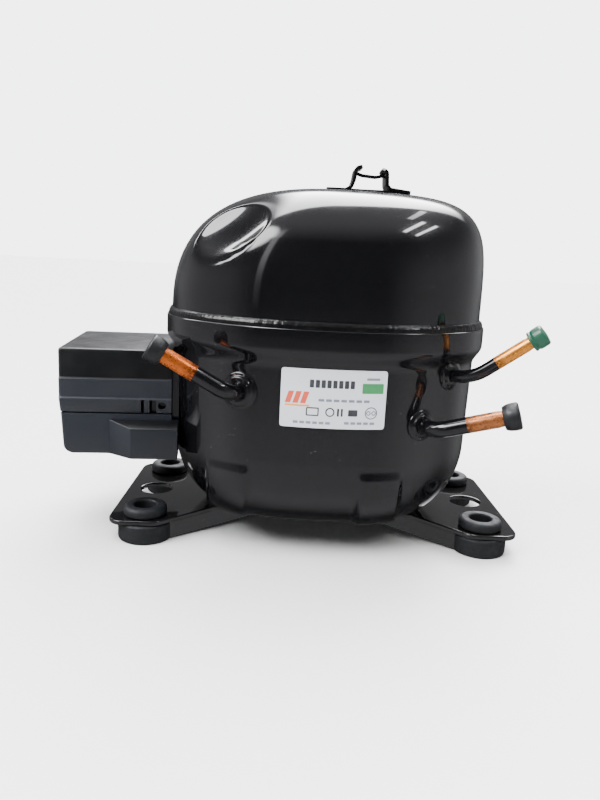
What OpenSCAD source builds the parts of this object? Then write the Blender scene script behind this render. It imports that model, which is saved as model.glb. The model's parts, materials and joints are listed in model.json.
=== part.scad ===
/* [Mounting] */
// Distance between grommet centres, left to right
mount_pitch_x = 170; // [165:1:180]
// Distance between grommet centres, front to back
mount_pitch_y = 70; // [68:1:74]
// Diameter of the hole through each grommet
grommet_bore_d = 11; // [8:0.5:12]
// Thickness of the pressed foot plates
foot_t = 2.5; // [2:0.1:3]
// Height of the foot plate's top face above the floor
foot_top_z = 12; // [11:0.5:12]

/* [Casing] */
// Half width of the bell mouth of the lower casing
rim_half_x = 81.8; // [80:0.2:84]
// Half depth of the bell mouth of the lower casing
rim_half_y = 66; // [64:0.5:68]
// Height of the bell mouth's top edge above the floor
seam_z = 111.6; // [110:0.2:113]
// Height of the dome's top above the floor
dome_z = 175; // [172:1:178]
// Wall thickness of both casings
wall_t = 2.5; // [2.2:0.1:3]

/* [Tubes] */
// Outer diameter of the suction and process tubes
service_tube_d = 7.5; // [6.5:0.1:8]
// Outer diameter of the discharge tube
discharge_tube_d = 6; // [5:0.1:6.5]
// Wall thickness of the tubes
tube_t = 0.7; // [0.5:0.1:1]

/* [Pump] */
// Cylinder bore
bore_d = 25.4; // [22:0.1:26]
// Crank radius, half of the piston's stroke
crank_r = 9; // [7:0.5:9]
// Distance between the connecting rod's two centres
rod_len = 39.5; // [39.5:0.5:41]

/* [Motor] */
// Width of the square stator stack
stator_w = 96; // [92:1:98]
// Height of the stator stack
stator_h = 40; // [36:1:40]
// Diameter of the rotor
rotor_d = 58; // [54:0.5:58]

/* [Terminal box] */
// Depth of the terminal box, front to back
box_w = 72; // [68:1:76]
// Length of the terminal box, out from the casing
box_l = 55.6; // [54:0.1:57]
// Height of the terminal box's top above the floor
box_top_z = 94; // [92:1:95]

/* [Hidden] */

$fn = 48;

// Casing: ovals about casing_x, sized by how far they lie inside the bell mouth's outline
casing_x = 2;
oval_power = 2.15;
bottom_power = 3;
ring_points = 60;
casing_bottom_z = 12.5;
body_inset = 4;
body_low_inset = 4.8;
body_low_z = 50;
corner_rx = 36;
corner_ry = 28;
corner_rz = body_low_z - casing_bottom_z;
corner_steps = 6;
body_top_z = 94.5;
bell_foot_z = 99.8;
bell_z = 103;
cap_left_power = 2.55;
cap_right_power = 5;
cap_depth_power = 3.4;
cap_steps = [0, 9, 18, 30, 42, 54, 64, 74, 82];
weld_gap = 0.05;

// Flat pressed into the cap's front left shoulder
flat_normal = [-0.55, -0.62, 0.56];
flat_point = [-44, -41, 152.3];

// Outward pads near the casing's bottom, over the spring seats
pad_half_w = 8;
pad_fade = 5;
pad_top_z = 38;
pad_rise = 8;
pad_h = 4.5;

// Motor and pump, about the vertical shaft
motor_x = -7;
stator_z = 46;
stator_top_z = stator_z + stator_h;
winding_h = 14;
winding_r = 39;
bore_r = rotor_d / 2 + 0.5;
slot_count = 24;
slot_depth = 9;
slot_w = 4;
shaft_r = 9.5;
run_gap = 0.03;
spring_dx = 36;
spring_dy = 31;
bolt_r = 3;
plate_z = stator_top_z + winding_h + 4;
plate_t = 8;
plate_top_z = plate_z + plate_t;
washer_t = 1;
web_t = 6;
web_z = plate_top_z + washer_t;
cylinder_z = plate_top_z + 14;
crank_pin_r = 8;
rod_t = 8;
// The small end sits this far before the cylinder's axis at mid-stroke, and as far past it at the limits
rod_offset = 1.05;
rod_angle = asin((crank_r - rod_offset) / rod_len);
wrist_x = motor_x + rod_len * cos(rod_angle);
wrist_r = 4;
wrist_gap = 1.3;
crown_h = 12.5;
piston_l = 23.5;
piston_wall = 2.3;
deck_x = motor_x + crank_r + rod_len + crown_h;
head_w = 48;
head_bolt_d = 19;
gasket_t = 0.5;
reed_t = 0.3;
valve_plate_t = 3;
head_t = 10;

// Springs
spring_r = 6.5;
spring_wire_r = 0.75;
spring_turns = 4;
spring_bottom_z = 30;
spring_steps = 12;
seat_flange_z = 27;
post_left_z = 16;
post_right_z = 14.4;

// Terminal box, turned about the vertical
box_yaw = 6;
box_x = -76;
box_y = 6.4;
box_t = 2.2;
box_bottom_z = 41.6;
box_split_z = 62.8;
box_end = 0.9;
clamp_hollow_l = 16;
clamp_points = [[-32.5, 1], [-20, -9], [2.5, -9], [2.5, 1]];
clamp_drop = 3.3;
cover_slots = [[-15.9, 1.4], [-11.8, 3.3]];
cover_slot_h = 6.3;
cover_hole = [-5.7, 3.6];
cover_hole_r = 1.9;
cover_gap = 0.1;
terminal_z = 69;
terminal_r = 16;
pin_offset = 7;
pin_r = 1.6;

// Tubes: place on the front wall, height, free end, outer diameter, corner distance, bend radius, collar radius
process = [-38, 81, [-74.9, -68, 100.7], service_tube_d, 10, 9, 9];
discharge = [60.5, 91, [94.7, -62, 113.2], discharge_tube_d, 12, 20, 7.5];
suction = [47, 68, [83.9, -72, 78.8], service_tube_d, 11, 13, 7.5];
tube_lead = 4.5;
plug_grip = 5;
tip_l = 6;
tip_step = 0.2;
lap = 0.3;
plug_cap_t = 2.5;

function unit(v) = v / norm(v);
function step_up(a, b, v) = let (t = max(0, min(1, (v - a) / (b - a)))) t * t * (3 - 2 * t);

// Points of a superellipse with separate left and right half widths
function oval(half_left, half_right, half_y, z, power = oval_power) = [
  for (i = [0 : ring_points - 1])
    let (a = 360 * i / ring_points, c = cos(a), s = sin(a), e = 2 / power)
      [casing_x + (c > 0 ? half_right : half_left) * sign(c) * pow(abs(c), e),
       half_y * sign(s) * pow(abs(s), e), z]];
function inset_oval(d, z) = oval(rim_half_x - d, rim_half_x - d, rim_half_y - d, z);

// Lower casing: how far a point near the bottom is pushed out by the pads
function pad_push(p) =
  let (across = abs(abs(p[0] - motor_x) - spring_dx))
    pad_h * (1 - step_up(pad_half_w, pad_half_w + pad_fade, across))
    * (1 - step_up(pad_top_z, pad_top_z + pad_rise, p[2])) * step_up(18, 30, abs(p[1]));
function pad_out(ring) = [
  for (p = ring) p + pad_push(p) * unit([(p[0] - casing_x) / 2, p[1], 0])];
function corner_ring(t, a) =
  pad_out(oval(rim_half_x - body_low_inset - corner_rx + (corner_rx - t) * cos(a),
    rim_half_x - body_low_inset - corner_rx + (corner_rx - t) * cos(a),
    rim_half_y - body_low_inset - corner_ry + (corner_ry - t) * cos(a),
    body_low_z + (corner_rz - t) * sin(a),
    oval_power + (bottom_power - oval_power) * (1 - cos(a))));
lower_outer = concat(
  [for (i = [0 : corner_steps]) corner_ring(0, -90 + i * 90 / corner_steps)],
  [inset_oval(body_inset, body_top_z), inset_oval(2.6, 97), inset_oval(0.6, bell_foot_z),
   inset_oval(0, bell_z), inset_oval(0, seam_z - 2), inset_oval(0.7, seam_z)]);
lower_inner = concat(
  [inset_oval(wall_t, seam_z), inset_oval(wall_t, bell_z), inset_oval(wall_t + 2.6, bell_z - 0.1),
   inset_oval(body_inset + wall_t, 97)],
  [for (i = [corner_steps : -1 : 0]) corner_ring(wall_t, -90 + i * 90 / corner_steps)]);

// Upper casing: a dome with a square right shoulder and a rounder left one
function dome_half(u, p) = pow(1 - pow(u, p), 1 / p);
function flattened(p, t) =
  let (n = unit(flat_normal), over = (p - flat_point) * n + t) over > 0 ? p - over * n : p;
function dome_ring(t, a) =
  let (u = pow(sin(a), 2 / cap_right_power), d = wall_t + weld_gap + t)
    [for (p = oval((rim_half_x - d) * dome_half(u, cap_left_power),
        (rim_half_x - d) * dome_half(u, cap_right_power),
        (rim_half_y - d) * dome_half(u, cap_depth_power), seam_z + (dome_z - seam_z - t) * u))
      flattened(p, t)];
upper_outer = concat([inset_oval(wall_t + weld_gap, bell_z + 0.1)],
  [for (a = cap_steps) dome_ring(0, a)]);
upper_inner = concat([for (i = [len(cap_steps) - 1 : -1 : 0]) dome_ring(wall_t, cap_steps[i])],
  [inset_oval(2 * wall_t + weld_gap, bell_z + 0.1)]);

// Faces between stacked rings of n points, and a cap over one ring
function sides(first, last, n) = [
  for (r = [first : last - 1], i = [0 : n - 1])
    let (a = r * n + i, b = r * n + (i + 1) % n) each [[a, a + n, b + n], [a, b + n, b]]];
function cap(r, n) = [for (i = [0 : n - 1]) r * n + i];
function reversed(v) = [for (i = [len(v) - 1 : -1 : 0]) v[i]];

// A closed solid from stacked rings, joined end to end when looped
module stacked(rings, n, looped = false) {
  last = len(rings) - 1;
  joined = looped ? concat(rings, [rings[0]]) : rings;
  faces_side = looped
    ? [for (r = [0 : last], i = [0 : n - 1])
        let (a = r * n + i, b = r * n + (i + 1) % n, c = ((r + 1) % (last + 1)) * n)
          each [[a, c + i, c + (i + 1) % n], [a, c + (i + 1) % n, b]]]
    : sides(0, last, n);
  caps = looped ? [] : [cap(0, n), reversed(cap(last, n))];
  polyhedron([for (r = rings) each r], concat(faces_side, caps));
}

// A cup: outer rings from one end to the other, then inner rings, with the mouth edge closed
module cup(outer, inner, mouth_first) {
  n = ring_points;
  o = len(outer);
  k = len(inner);
  total = o + k;
  mouth_a = mouth_first ? total - 1 : o - 1;
  mouth_b = mouth_first ? 0 : o;
  mouth = [for (i = [0 : n - 1])
    let (a = mouth_a * n + i, b = mouth_a * n + (i + 1) % n,
      c = mouth_b * n + i, d = mouth_b * n + (i + 1) % n) each [[a, c, d], [a, d, b]]];
  closed = mouth_first
    ? [reversed(cap(o - 1, n)), cap(o, n)]
    : [cap(0, n), reversed(cap(total - 1, n))];
  polyhedron([for (r = concat(outer, inner)) each r],
    concat(sides(0, o - 1, n), sides(o, total - 1, n), mouth, closed));
}

// A round bar swept along a list of points
function tangent(p, i) = unit(p[min(i + 1, len(p) - 1)] - p[max(i - 1, 0)]);
function carried(p, i, n) = i >= len(p) ? []
  : let (t = tangent(p, i), m = unit(n - (n * t) * t)) concat([m], carried(p, i + 1, m));
module swept(path, r, count, start) {
  normals = carried(path, 0, start);
  rings = [for (i = [0 : len(path) - 1])
    let (t = tangent(path, i), m = normals[i], q = cross(t, m))
      [for (k = [0 : count - 1]) path[i] + r * (cos(360 * k / count) * m + sin(360 * k / count) * q)]];
  stacked(rings, count);
}

// A smooth curve through hand-chosen points
function blend_point(a, b, c, d, t) =
  0.5 * (2 * b + (c - a) * t + (2 * a - 5 * b + 4 * c - d) * t * t
    + (3 * b - a - 3 * c + d) * t * t * t);
function smooth(p, k) = concat(
  [for (i = [0 : len(p) - 2], j = [0 : k - 1])
    blend_point(p[max(i - 1, 0)], p[i], p[i + 1], p[min(i + 2, len(p) - 1)], j / k)],
  [p[len(p) - 1]]);

// Place children at p with local +Z along n and local +X as near b as it can be
module aim(p, n, b) {
  z = unit(n);
  turn = atan2(z[1], z[0]);
  tilt = acos(z[2]);
  roll = atan2(b * [-sin(turn), cos(turn), 0],
    b * [cos(turn) * cos(tilt), sin(turn) * cos(tilt), -sin(tilt)]);
  translate(p) rotate([0, tilt, turn]) rotate([0, 0, roll]) children();
}
module rounded_box(size, r) {
  linear_extrude(size[2])
    rounded_square([size[0], size[1]], r);
}
module rounded_square(size, r) {
  x = size[0] / 2 - r;
  y = size[1] / 2 - r;
  square([size[0] - 2 * r, size[1]], center = true);
  square([size[0], size[1] - 2 * r], center = true);
  for (sx = [-x, x], sy = [-y, y]) translate([sx, sy]) circle(r);
}

// The casing's front wall at a given x, and its outward normal
body_half_x = rim_half_x - body_inset - 0.4;
body_half_y = rim_half_y - body_inset - 0.4;
function wall_y(x) = -body_half_y
  * pow(1 - pow(abs(x - casing_x) / body_half_x, oval_power), 1 / oval_power);
function wall_normal(x) = let (u = (x - casing_x) / body_half_x, v = wall_y(x) / body_half_y)
  unit([sign(u) * pow(abs(u), oval_power - 1) / body_half_x,
    -pow(abs(v), oval_power - 1) / body_half_y, 0]);
function wall_point(x, z) = [x, wall_y(x), z];
function corner_point(t) = wall_point(t[0], t[1]) + t[4] * wall_normal(t[0]);
function tail_direction(t) = unit(t[2] - corner_point(t));

module at_wall(t) {
  aim(wall_point(t[0], t[1]), wall_normal(t[0]), tail_direction(t)) children();
}
module at_tail(t) {
  aim(t[2], tail_direction(t), wall_normal(t[0])) children();
}
module annulus(r, thin) {
  difference() {
    circle(r - thin);
    circle(r - tube_t + thin / 4);
  }
}
// A tube from inside the wall, out along its normal, round a bend and on to its sized free end;
// each stretch is a hair thinner than the one it runs into
module bent_tube(t) {
  r = t[3] / 2;
  bend_r = t[5];
  turn = acos(wall_normal(t[0]) * tail_direction(t));
  reach = bend_r * tan(turn / 2);
  straight = t[4] - reach;
  tail = norm(t[2] - corner_point(t)) - reach;
  at_wall(t) {
    translate([0, 0, -tube_lead]) linear_extrude(tube_lead + straight + lap) annulus(r, 0);
    translate([bend_r, 0, straight]) rotate([90, 0, 0]) rotate([0, 0, 180 - turn]) {
      rotate_extrude(angle = turn) translate([bend_r, 0]) annulus(r, tip_step / 2);
      translate([bend_r, lap, 0]) rotate([90, 0, 0])
        linear_extrude(tail - tip_l + lap) annulus(r, 0);
      translate([bend_r, tip_l - tail + lap, 0]) rotate([90, 0, 0])
        linear_extrude(tip_l + lap) annulus(r, tip_step);
    }
  }
}
module collar(t) {
  r = t[3] / 2;
  at_wall(t) difference() {
    union() {
      translate([0, 0, -wall_t - 1]) cylinder(h = wall_t + 2, r = r + 2);
      cylinder(h = 1.2, r = t[6]);
      cylinder(h = 2.2, r = t[6] - 2);
    }
    translate([0, 0, -8]) cylinder(h = 16, r = r);
  }
}
module plug(t, r) {
  at_tail(t) difference() {
    union() {
      translate([0, 0, -plug_grip]) cylinder(h = plug_grip + plug_cap_t - 1, r = r);
      translate([0, 0, plug_cap_t - 1]) cylinder(h = 1, r1 = r, r2 = r - 1);
    }
    translate([0, 0, -plug_grip]) cylinder(h = plug_grip, r = t[3] / 2 - tip_step + run_gap);
  }
}

module upper_shell() {
  color("#14151a") cup(upper_outer, upper_inner, true);
}

module lower_shell() {
  color("#14151a") difference() {
    cup(lower_outer, lower_inner, false);
    for (t = [process, discharge, suction])
      at_wall(t) translate([0, 0, -12]) cylinder(h = 24, r = t[3] / 2 + 2);
    at_box() translate([-12, 0, terminal_z]) rotate([0, 90, 0]) cylinder(h = 24, r = terminal_r);
  }
}

module weld_bead() {
  color("#23241f") stacked([inset_oval(0.9, seam_z), inset_oval(1.1, seam_z + 1.6),
    inset_oval(1.8, seam_z + 2.8), inset_oval(wall_t + weld_gap, seam_z + 3.2),
    inset_oval(wall_t + weld_gap, seam_z)], ring_points, true);
}

// Hat-shaped steel strip on the dome, with two curled ears and a bridging bar
bracket_w = 15;
bracket_t = 1.8;
bar_w = 3;
bar_back = 0.3;
module top_bracket() {
  z = dome_z + bracket_t / 2;
  left_ear = [[-1, z], [8.5, z], [11.2, z + 1.6], [12.4, z + 5], [13.2, z + 10.5], [16.2, z + 11.6]];
  right_ear = [[26.2, z + 10.6], [28.6, z + 9.5], [29, z + 3], [30.6, z + 1.2], [41, z]];
  bar = [[13, z + 9.8], [17, z + 8.4], [24, z + 7.8], [28.8, z + 8.9]];
  color("#101115") {
    translate([0, bracket_w / 2, 0]) rotate([90, 0, 0]) linear_extrude(bracket_w) {
      ribbon(left_ear, bracket_t);
      ribbon(right_ear, bracket_t);
      ribbon([[5, z - 0.1], [36, z - 0.1]], bracket_t - 0.2);
    }
    translate([0, bracket_w / 2 - bar_back, 0]) rotate([90, 0, 0]) linear_extrude(bar_w)
      ribbon(bar, bracket_t);
  }
}
// A flat strip of constant thickness along a bent line, with mitred corners
function across(d) = unit([-d[1], d[0]]);
function ribbon_edge(p, t) = [for (i = [0 : len(p) - 1])
  let (before = across(p[max(i, 1)] - p[max(i, 1) - 1]),
    after = across(p[min(i, len(p) - 2) + 1] - p[min(i, len(p) - 2)]), mid = unit(before + after))
    p[i] + mid * t / (mid * before)];
module ribbon(p, t) {
  polygon(concat(ribbon_edge(p, t / 2), reversed(ribbon_edge(p, -t / 2))));
}

// Foot plates
foot_outer_x = mount_pitch_x / 2 + 17;
foot_half_y = mount_pitch_y / 2 + 12;
foot_inner_x = 24;
neck_x = 50;
neck_half_y = 21;
skirt_h = 8.5;
neck_pad_x = 40;
mid_hole_r = 8.5;
grommet_neck_r = 8;
edge_x = mount_pitch_x / 2 - 7;
module foot_outline() {
  hull() for (s = [-1, 1]) {
    translate([foot_outer_x - 7, s * (foot_half_y - 7)]) circle(7, $fn = 32);
    translate([edge_x, s * (foot_half_y - 2)]) circle(2, $fn = 32);
    translate([neck_x, s * (neck_half_y - 2)]) circle(2, $fn = 32);
  }
  translate([foot_inner_x, -neck_half_y]) square([neck_x - foot_inner_x, 2 * neck_half_y]);
}
module foot_skirt() {
  run = [edge_x - neck_x, foot_half_y - neck_half_y];
  for (s = [0, 1]) mirror([0, s, 0]) translate([neck_x, neck_half_y, foot_top_z - foot_t - skirt_h])
    rotate([0, 0, atan2(run[1], run[0])]) translate([-4, -foot_t, 0])
      cube([norm(run) - 3, foot_t, skirt_h + 0.1]);
}
module foot_plate() {
  difference() {
    union() {
      translate([0, 0, foot_top_z - foot_t]) linear_extrude(foot_t) foot_outline();
      foot_skirt();
      translate([foot_inner_x, 4 - neck_half_y, foot_top_z - 0.1])
        cube([neck_pad_x - foot_inner_x, 2 * neck_half_y - 8, casing_bottom_z - foot_top_z + 0.1]);
    }
    for (y = [-1, 1]) translate([mount_pitch_x / 2, y * mount_pitch_y / 2, -1])
      cylinder(h = 20, r = grommet_neck_r + 0.05);
    translate([mount_pitch_x / 2 + 1.5, 2, -1]) cylinder(h = 20, r = mid_hole_r);
  }
}
module foot_plate_left() {
  color("#15161a") mirror([1, 0, 0]) foot_plate();
}
module foot_plate_right() {
  color("#15161a") foot_plate();
}

// Rubber grommet: wide body under the plate, waist in the plate, round flange above it
module grommet(sx, sy) {
  under = foot_top_z - foot_t;
  color("#1b1d20") translate([sx * mount_pitch_x / 2, sy * mount_pitch_y / 2, 0])
    rotate_extrude() {
      bore = grommet_bore_d / 2;
      translate([bore, 0]) square([12.5 - bore, under - 0.05]);
      translate([bore, 1]) square([13.5 - bore, under - 1.05]);
      translate([12.5, 1]) circle(1);
      translate([bore, 0]) square([grommet_neck_r - bore, 16]);
      translate([bore, foot_top_z + 0.05]) square([8.5 - bore, 4.95]);
      translate([8.3, foot_top_z + 2.55]) circle(2.45);
    }
}
module grommet_front_left() { grommet(-1, -1); }
module grommet_front_right() { grommet(1, -1); }
module grommet_rear_left() { grommet(-1, 1); }
module grommet_rear_right() { grommet(1, 1); }

// Blank rating label, following the front wall
label_x0 = -19;
label_x1 = 28.5;
label_z0 = 67;
label_z1 = 94;
label_t = 0.25;
label_cols = 14;
module rating_label() {
  function edge(x, d) = let (p = wall_point(x, 0) + (0.45 + d) * wall_normal(x)) [p[0], p[1]];
  xs = [for (i = [0 : label_cols]) label_x0 + (label_x1 - label_x0) * i / label_cols];
  color("#e9ecef") translate([0, 0, label_z0]) linear_extrude(label_z1 - label_z0)
    polygon(concat([for (x = xs) edge(x, 0)],
      [for (i = [label_cols : -1 : 0]) edge(xs[i], label_t)]));
}

module process_collar() {
  color("#16171b") collar(process);
}
module discharge_collar() {
  color("#16171b") collar(discharge);
}
module suction_collar() {
  color("#16171b") collar(suction);
}
module process_tube() {
  color("#b5651d") bent_tube(process);
}
module discharge_tube() {
  color("#c47a2c") bent_tube(discharge);
}
module suction_tube() {
  color("#a85a32") bent_tube(suction);
}
module process_plug() {
  color("#2a2c31") plug(process, 6.2);
}
module discharge_plug() {
  color("#2a6a50") plug(discharge, 4.9);
}
module suction_plug() {
  color("#2a2c31") plug(suction, 6.2);
}

// Terminal box: local -X points out from the casing
module at_box() {
  translate([box_x, box_y, 0]) rotate([0, 0, box_yaw]) children();
}
fence_half = box_w / 2 - box_t - 2;
fence_t = 2;
fence_z = 49;
fence_h = 39;
earth_z = 56;
module terminal_pins(start, l, r) {
  translate([0, 0, terminal_z]) rotate([0, 90, 0]) for (a = [90, 210, 330])
    rotate([0, 0, a]) translate([pin_offset, 0, start]) cylinder(h = l, r = r);
}
module at_earth() {
  translate([-7, fence_half - fence_t, earth_z]) rotate([-90, 0, 0]) children();
}
module terminal_fence() {
  color("#17181c") difference() {
    at_box() difference() {
      translate([-11, -fence_half, fence_z]) cube([18, 2 * fence_half, fence_h]);
      translate([-12, fence_t - fence_half, fence_z + fence_t])
        cube([21, 2 * (fence_half - fence_t), fence_h - 2 * fence_t]);
      at_earth() translate([0, 0, -1]) cylinder(h = fence_t + 2, r = 1.95);
    }
    translate([0, 0, fence_z - 1]) linear_extrude(fence_h + 2)
      polygon([for (p = inset_oval(body_inset - 0.02, 0)) [p[0], p[1]]]);
  }
}
module hermetic_terminal() {
  color("#8f9296") at_box() {
    translate([0, 0, terminal_z]) rotate([0, 90, 0]) difference() {
      translate([0, 0, -4]) cylinder(h = 8, r = terminal_r - 0.05);
      translate([0, 0, -5]) cylinder(h = 7, r = terminal_r - 2);
    }
    terminal_pins(-14, 28, pin_r);
  }
}
module terminal_housing() {
  h = box_split_z - box_bottom_z;
  color("#33373f") at_box() translate([0, 0, box_bottom_z]) difference() {
    union() {
      translate([-box_l, -box_w / 2, 0]) cube([box_l - box_end, box_w, h]);
      linear_extrude(h - clamp_drop) polygon([for (p = clamp_points) [p[0], p[1] - box_w / 2]]);
    }
    translate([-box_l + box_t, -box_w / 2 + box_t, box_t]) cube([box_l, box_w - 2 * box_t, h]);
    translate([-clamp_hollow_l, clamp_points[1][1] - box_w / 2 + box_t, box_t])
      cube([clamp_hollow_l, -clamp_points[1][1], h - clamp_drop - 2 * box_t]);
  }
}
module terminal_cover() {
  z0 = box_split_z + cover_gap;
  w = box_w / 2;
  color("#2b2f37") at_box() difference() {
    translate([-box_end, 0, 0]) rotate([0, -90, 0]) linear_extrude(box_l - box_end)
      polygon([[z0, -w], [z0 + 8, -w], [z0 + 8.8, 0.8 - w], [z0 + 18, 0.8 - w], [z0 + 18.8, 1.8 - w],
        [box_top_z - 1, 1.8 - w], [box_top_z, 2.8 - w], [box_top_z, w - 1], [box_top_z - 1, w], [z0, w]]);
    translate([-box_l + box_t, -w + box_t + 1.8, z0 - 1])
      cube([box_l, box_w - 2 * box_t - 1.8, box_top_z - z0 - box_t + 1]);
    for (slot = cover_slots) translate([slot[0], -w - 1, z0 - 1]) cube([slot[1], 6, cover_slot_h + 1]);
    translate([cover_hole[0], -w - 1, z0 + cover_hole[1]]) rotate([-90, 0, 0])
      cylinder(h = 6, r = cover_hole_r);
  }
}
relay_x = -32;
relay_l = 25;
protector_r = 6.4;
module starter_relay() {
  color("#202226") at_box() difference() {
    translate([relay_x, -14, terminal_z - 11.5]) cube([relay_l, 28, 14]);
    terminal_pins(-15, 10, pin_r + 0.05);
  }
}
module overload_protector() {
  color("#8a3b2b") at_box() difference() {
    translate([relay_x, -pin_offset / 2, terminal_z + 2.6 + protector_r]) rotate([0, 90, 0])
      cylinder(h = relay_l, r = protector_r);
    terminal_pins(-15, 10, pin_r + 0.05);
  }
}
module earth_screw() {
  color("#b08d3c") at_box() at_earth() {
    translate([0, 0, -2.6]) cylinder(h = 2.6, r = 3.6);
    cylinder(h = fence_t, r = 1.9);
  }
}
module inner_connector() {
  color("#d9d4c4") at_box() difference() {
    translate([4.2, 0, terminal_z]) rotate([0, 90, 0]) cylinder(h = 10, r = 11);
    terminal_pins(3, 12, pin_r + 0.05);
  }
}

// Motor
module slot_ring(w, r0, r1, z, h) {
  for (i = [0 : slot_count - 1]) rotate([0, 0, (i + 0.5) * 360 / slot_count])
    translate([r0, -w / 2, z]) cube([r1 - r0, w, h]);
}
module stator_core() {
  color("#7c7f86") translate([motor_x, 0, 0]) difference() {
    translate([0, 0, stator_z]) rounded_box([stator_w, stator_w, stator_h], 16);
    translate([0, 0, stator_z - 1]) cylinder(h = stator_h + 2, r = bore_r);
    slot_ring(slot_w, bore_r + 1.5, bore_r + 1.5 + slot_depth, stator_z - 1, stator_h + 2);
    for (x = [-1, 1], y = [-1, 1]) translate([x * spring_dx, y * spring_dy, stator_z - 1])
      cylinder(h = stator_h + 2, r = bolt_r + 0.05);
  }
}
module stator_windings() {
  inner = bore_r + 1.7;
  color("#b0622d") translate([motor_x, 0, 0]) {
    for (z = [stator_z - winding_h, stator_top_z]) translate([0, 0, z]) difference() {
      cylinder(h = winding_h, r = winding_r);
      translate([0, 0, -1]) cylinder(h = winding_h + 2, r = inner);
    }
    slot_ring(slot_w - 0.4, inner, winding_r, stator_z - 0.5, stator_h + 1);
  }
}
module stator_bolts() {
  color("#9a9ca0") for (x = [-1, 1], y = [-1, 1])
    translate([motor_x + x * spring_dx, y * spring_dy, 0]) {
      translate([0, 0, stator_z - 4]) cylinder(h = 4, r = 4.5);
      translate([0, 0, stator_z - 0.1]) cylinder(h = plate_z + 5 - stator_z, r = bolt_r);
    }
}
module motor_leads() {
  color("#c9c3b2") for (i = [-1, 0, 1])
    swept(smooth([[-59.5, 7 + 3 * i, 66 + 2 * i], [-58, 6 + 3 * i, 78], [-57, 5 + 3 * i, 94],
      [-52, 3 + 3 * i, 99], [motor_x - winding_r - 1.6, 3 * i, 95]], 4), 1.1, 6, [0, 1, 0]);
}
module rotor_core() {
  color("#83868c") translate([motor_x, 0, stator_z]) difference() {
    cylinder(h = stator_h, r = rotor_d / 2);
    translate([0, 0, -1]) cylinder(h = stator_h + 2, r = shaft_r);
    translate([0, 0, stator_h - 12]) cylinder(h = 13, r = 18.5);
  }
}
module rotor_cage() {
  color("#c3c6ca") translate([motor_x, 0, 0]) for (z = [stator_z - 6, stator_top_z])
    translate([0, 0, z]) difference() {
      cylinder(h = 6, r = rotor_d / 2 - 1);
      translate([0, 0, -1]) cylinder(h = 8, r = rotor_d / 2 - 9);
    }
}
module crankshaft() {
  color("#90939a") translate([motor_x, 0, 0]) difference() {
    union() {
      translate([0, 0, stator_z - 6]) cylinder(h = web_z - stator_z + 6.1, r = shaft_r);
      hull() {
        translate([0, 0, web_z]) cylinder(h = web_t, r = 13);
        translate([0, -crank_r, web_z]) cylinder(h = web_t, r = crank_pin_r + 2);
      }
      translate([0, -crank_r, web_z]) cylinder(h = web_t + 15, r = crank_pin_r);
    }
    translate([0, 0, stator_z - 7]) cylinder(h = 30, r = 3);
    translate([0, -crank_r, web_z + web_t]) cylinder(h = 16, r = 3);
  }
}
module counterweight() {
  color("#6e7177") translate([motor_x, 0, web_z]) difference() {
    cylinder(h = web_t, r = 21.5);
    translate([0, 0, -1]) cylinder(h = web_t + 2, r = 13.2);
    translate([-30, -60, -1]) cube([60, 60, web_t + 2]);
    for (s = [0, 1]) mirror([s, 0, 0]) rotate([0, 0, -60]) translate([0, 0, -1])
      cube([40, 40, web_t + 2]);
  }
}
module thrust_washer() {
  color("#cfd2d6") translate([motor_x, 0, plate_top_z]) difference() {
    cylinder(h = washer_t - 0.05, r = 14);
    translate([0, 0, -1]) cylinder(h = washer_t + 2, r = shaft_r + 0.1);
  }
}
module oil_pickup() {
  color("#a7aab0") translate([motor_x, 0, 0]) difference() {
    union() {
      translate([0, 0, 21]) cylinder(h = stator_z - 27, r1 = 4, r2 = 8);
      translate([0, 0, stator_z - 6.1]) cylinder(h = 0.1, r = 8);
    }
    translate([0, 0, 20]) cylinder(h = stator_z - 20, r = 2.2);
  }
}

// Pump
module cylinder_block() {
  leg_z = stator_top_z;
  color("#6b6f76") difference() {
    union() {
      translate([motor_x, 0, plate_z]) rounded_box([84, 78, plate_t], 12);
      translate([motor_x, 0, stator_top_z - 8]) cylinder(h = plate_z - stator_top_z + 8.1, r = 17.5);
      for (x = [-1, 1], y = [-1, 1]) translate([motor_x + x * spring_dx, y * spring_dy, leg_z])
        cylinder(h = plate_z - leg_z + 0.1, r = 6);
      translate([20, -16, plate_top_z - 0.1]) cube([deck_x - 20, 32, cylinder_z - plate_top_z]);
      translate([20, 0, cylinder_z]) rotate([0, 90, 0]) cylinder(h = deck_x - 20, r = 19);
      translate([deck_x - 7, -head_w / 2, cylinder_z - head_w / 2]) cube([7, head_w, head_w]);
    }
    translate([motor_x, 0, stator_top_z - 10]) cylinder(h = 60, r = shaft_r + run_gap);
    translate([19, 0, cylinder_z]) rotate([0, 90, 0]) cylinder(h = deck_x, r = bore_d / 2);
    for (x = [-1, 1], y = [-1, 1])
      translate([motor_x + x * spring_dx, y * spring_dy, leg_z - 1])
        cylinder(h = plate_z - leg_z + 6.5, r = bolt_r + 0.05);
    head_bolt_holes(deck_x - 20, 21);
  }
}
module head_bolt_holes(x, l) {
  for (y = [-1, 1], z = [-1, 1])
    translate([x, y * head_bolt_d, cylinder_z + z * head_bolt_d]) rotate([0, 90, 0])
      cylinder(h = l, r = 2.55);
}
module connecting_rod() {
  color("#7f838b") translate([motor_x, -crank_r, cylinder_z - rod_t / 2]) rotate([0, 0, rod_angle])
    difference() {
      union() {
        cylinder(h = rod_t, r = 12.5);
        translate([rod_len, 0, 0]) cylinder(h = rod_t, r = 8);
        translate([0, -4, 1]) cube([rod_len, 8, rod_t - 2]);
      }
      translate([0, 0, -1]) cylinder(h = rod_t + 2, r = crank_pin_r + run_gap);
      translate([rod_len, 0, -1]) cylinder(h = rod_t + 2, r = wrist_r + wrist_gap);
    }
}
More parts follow.
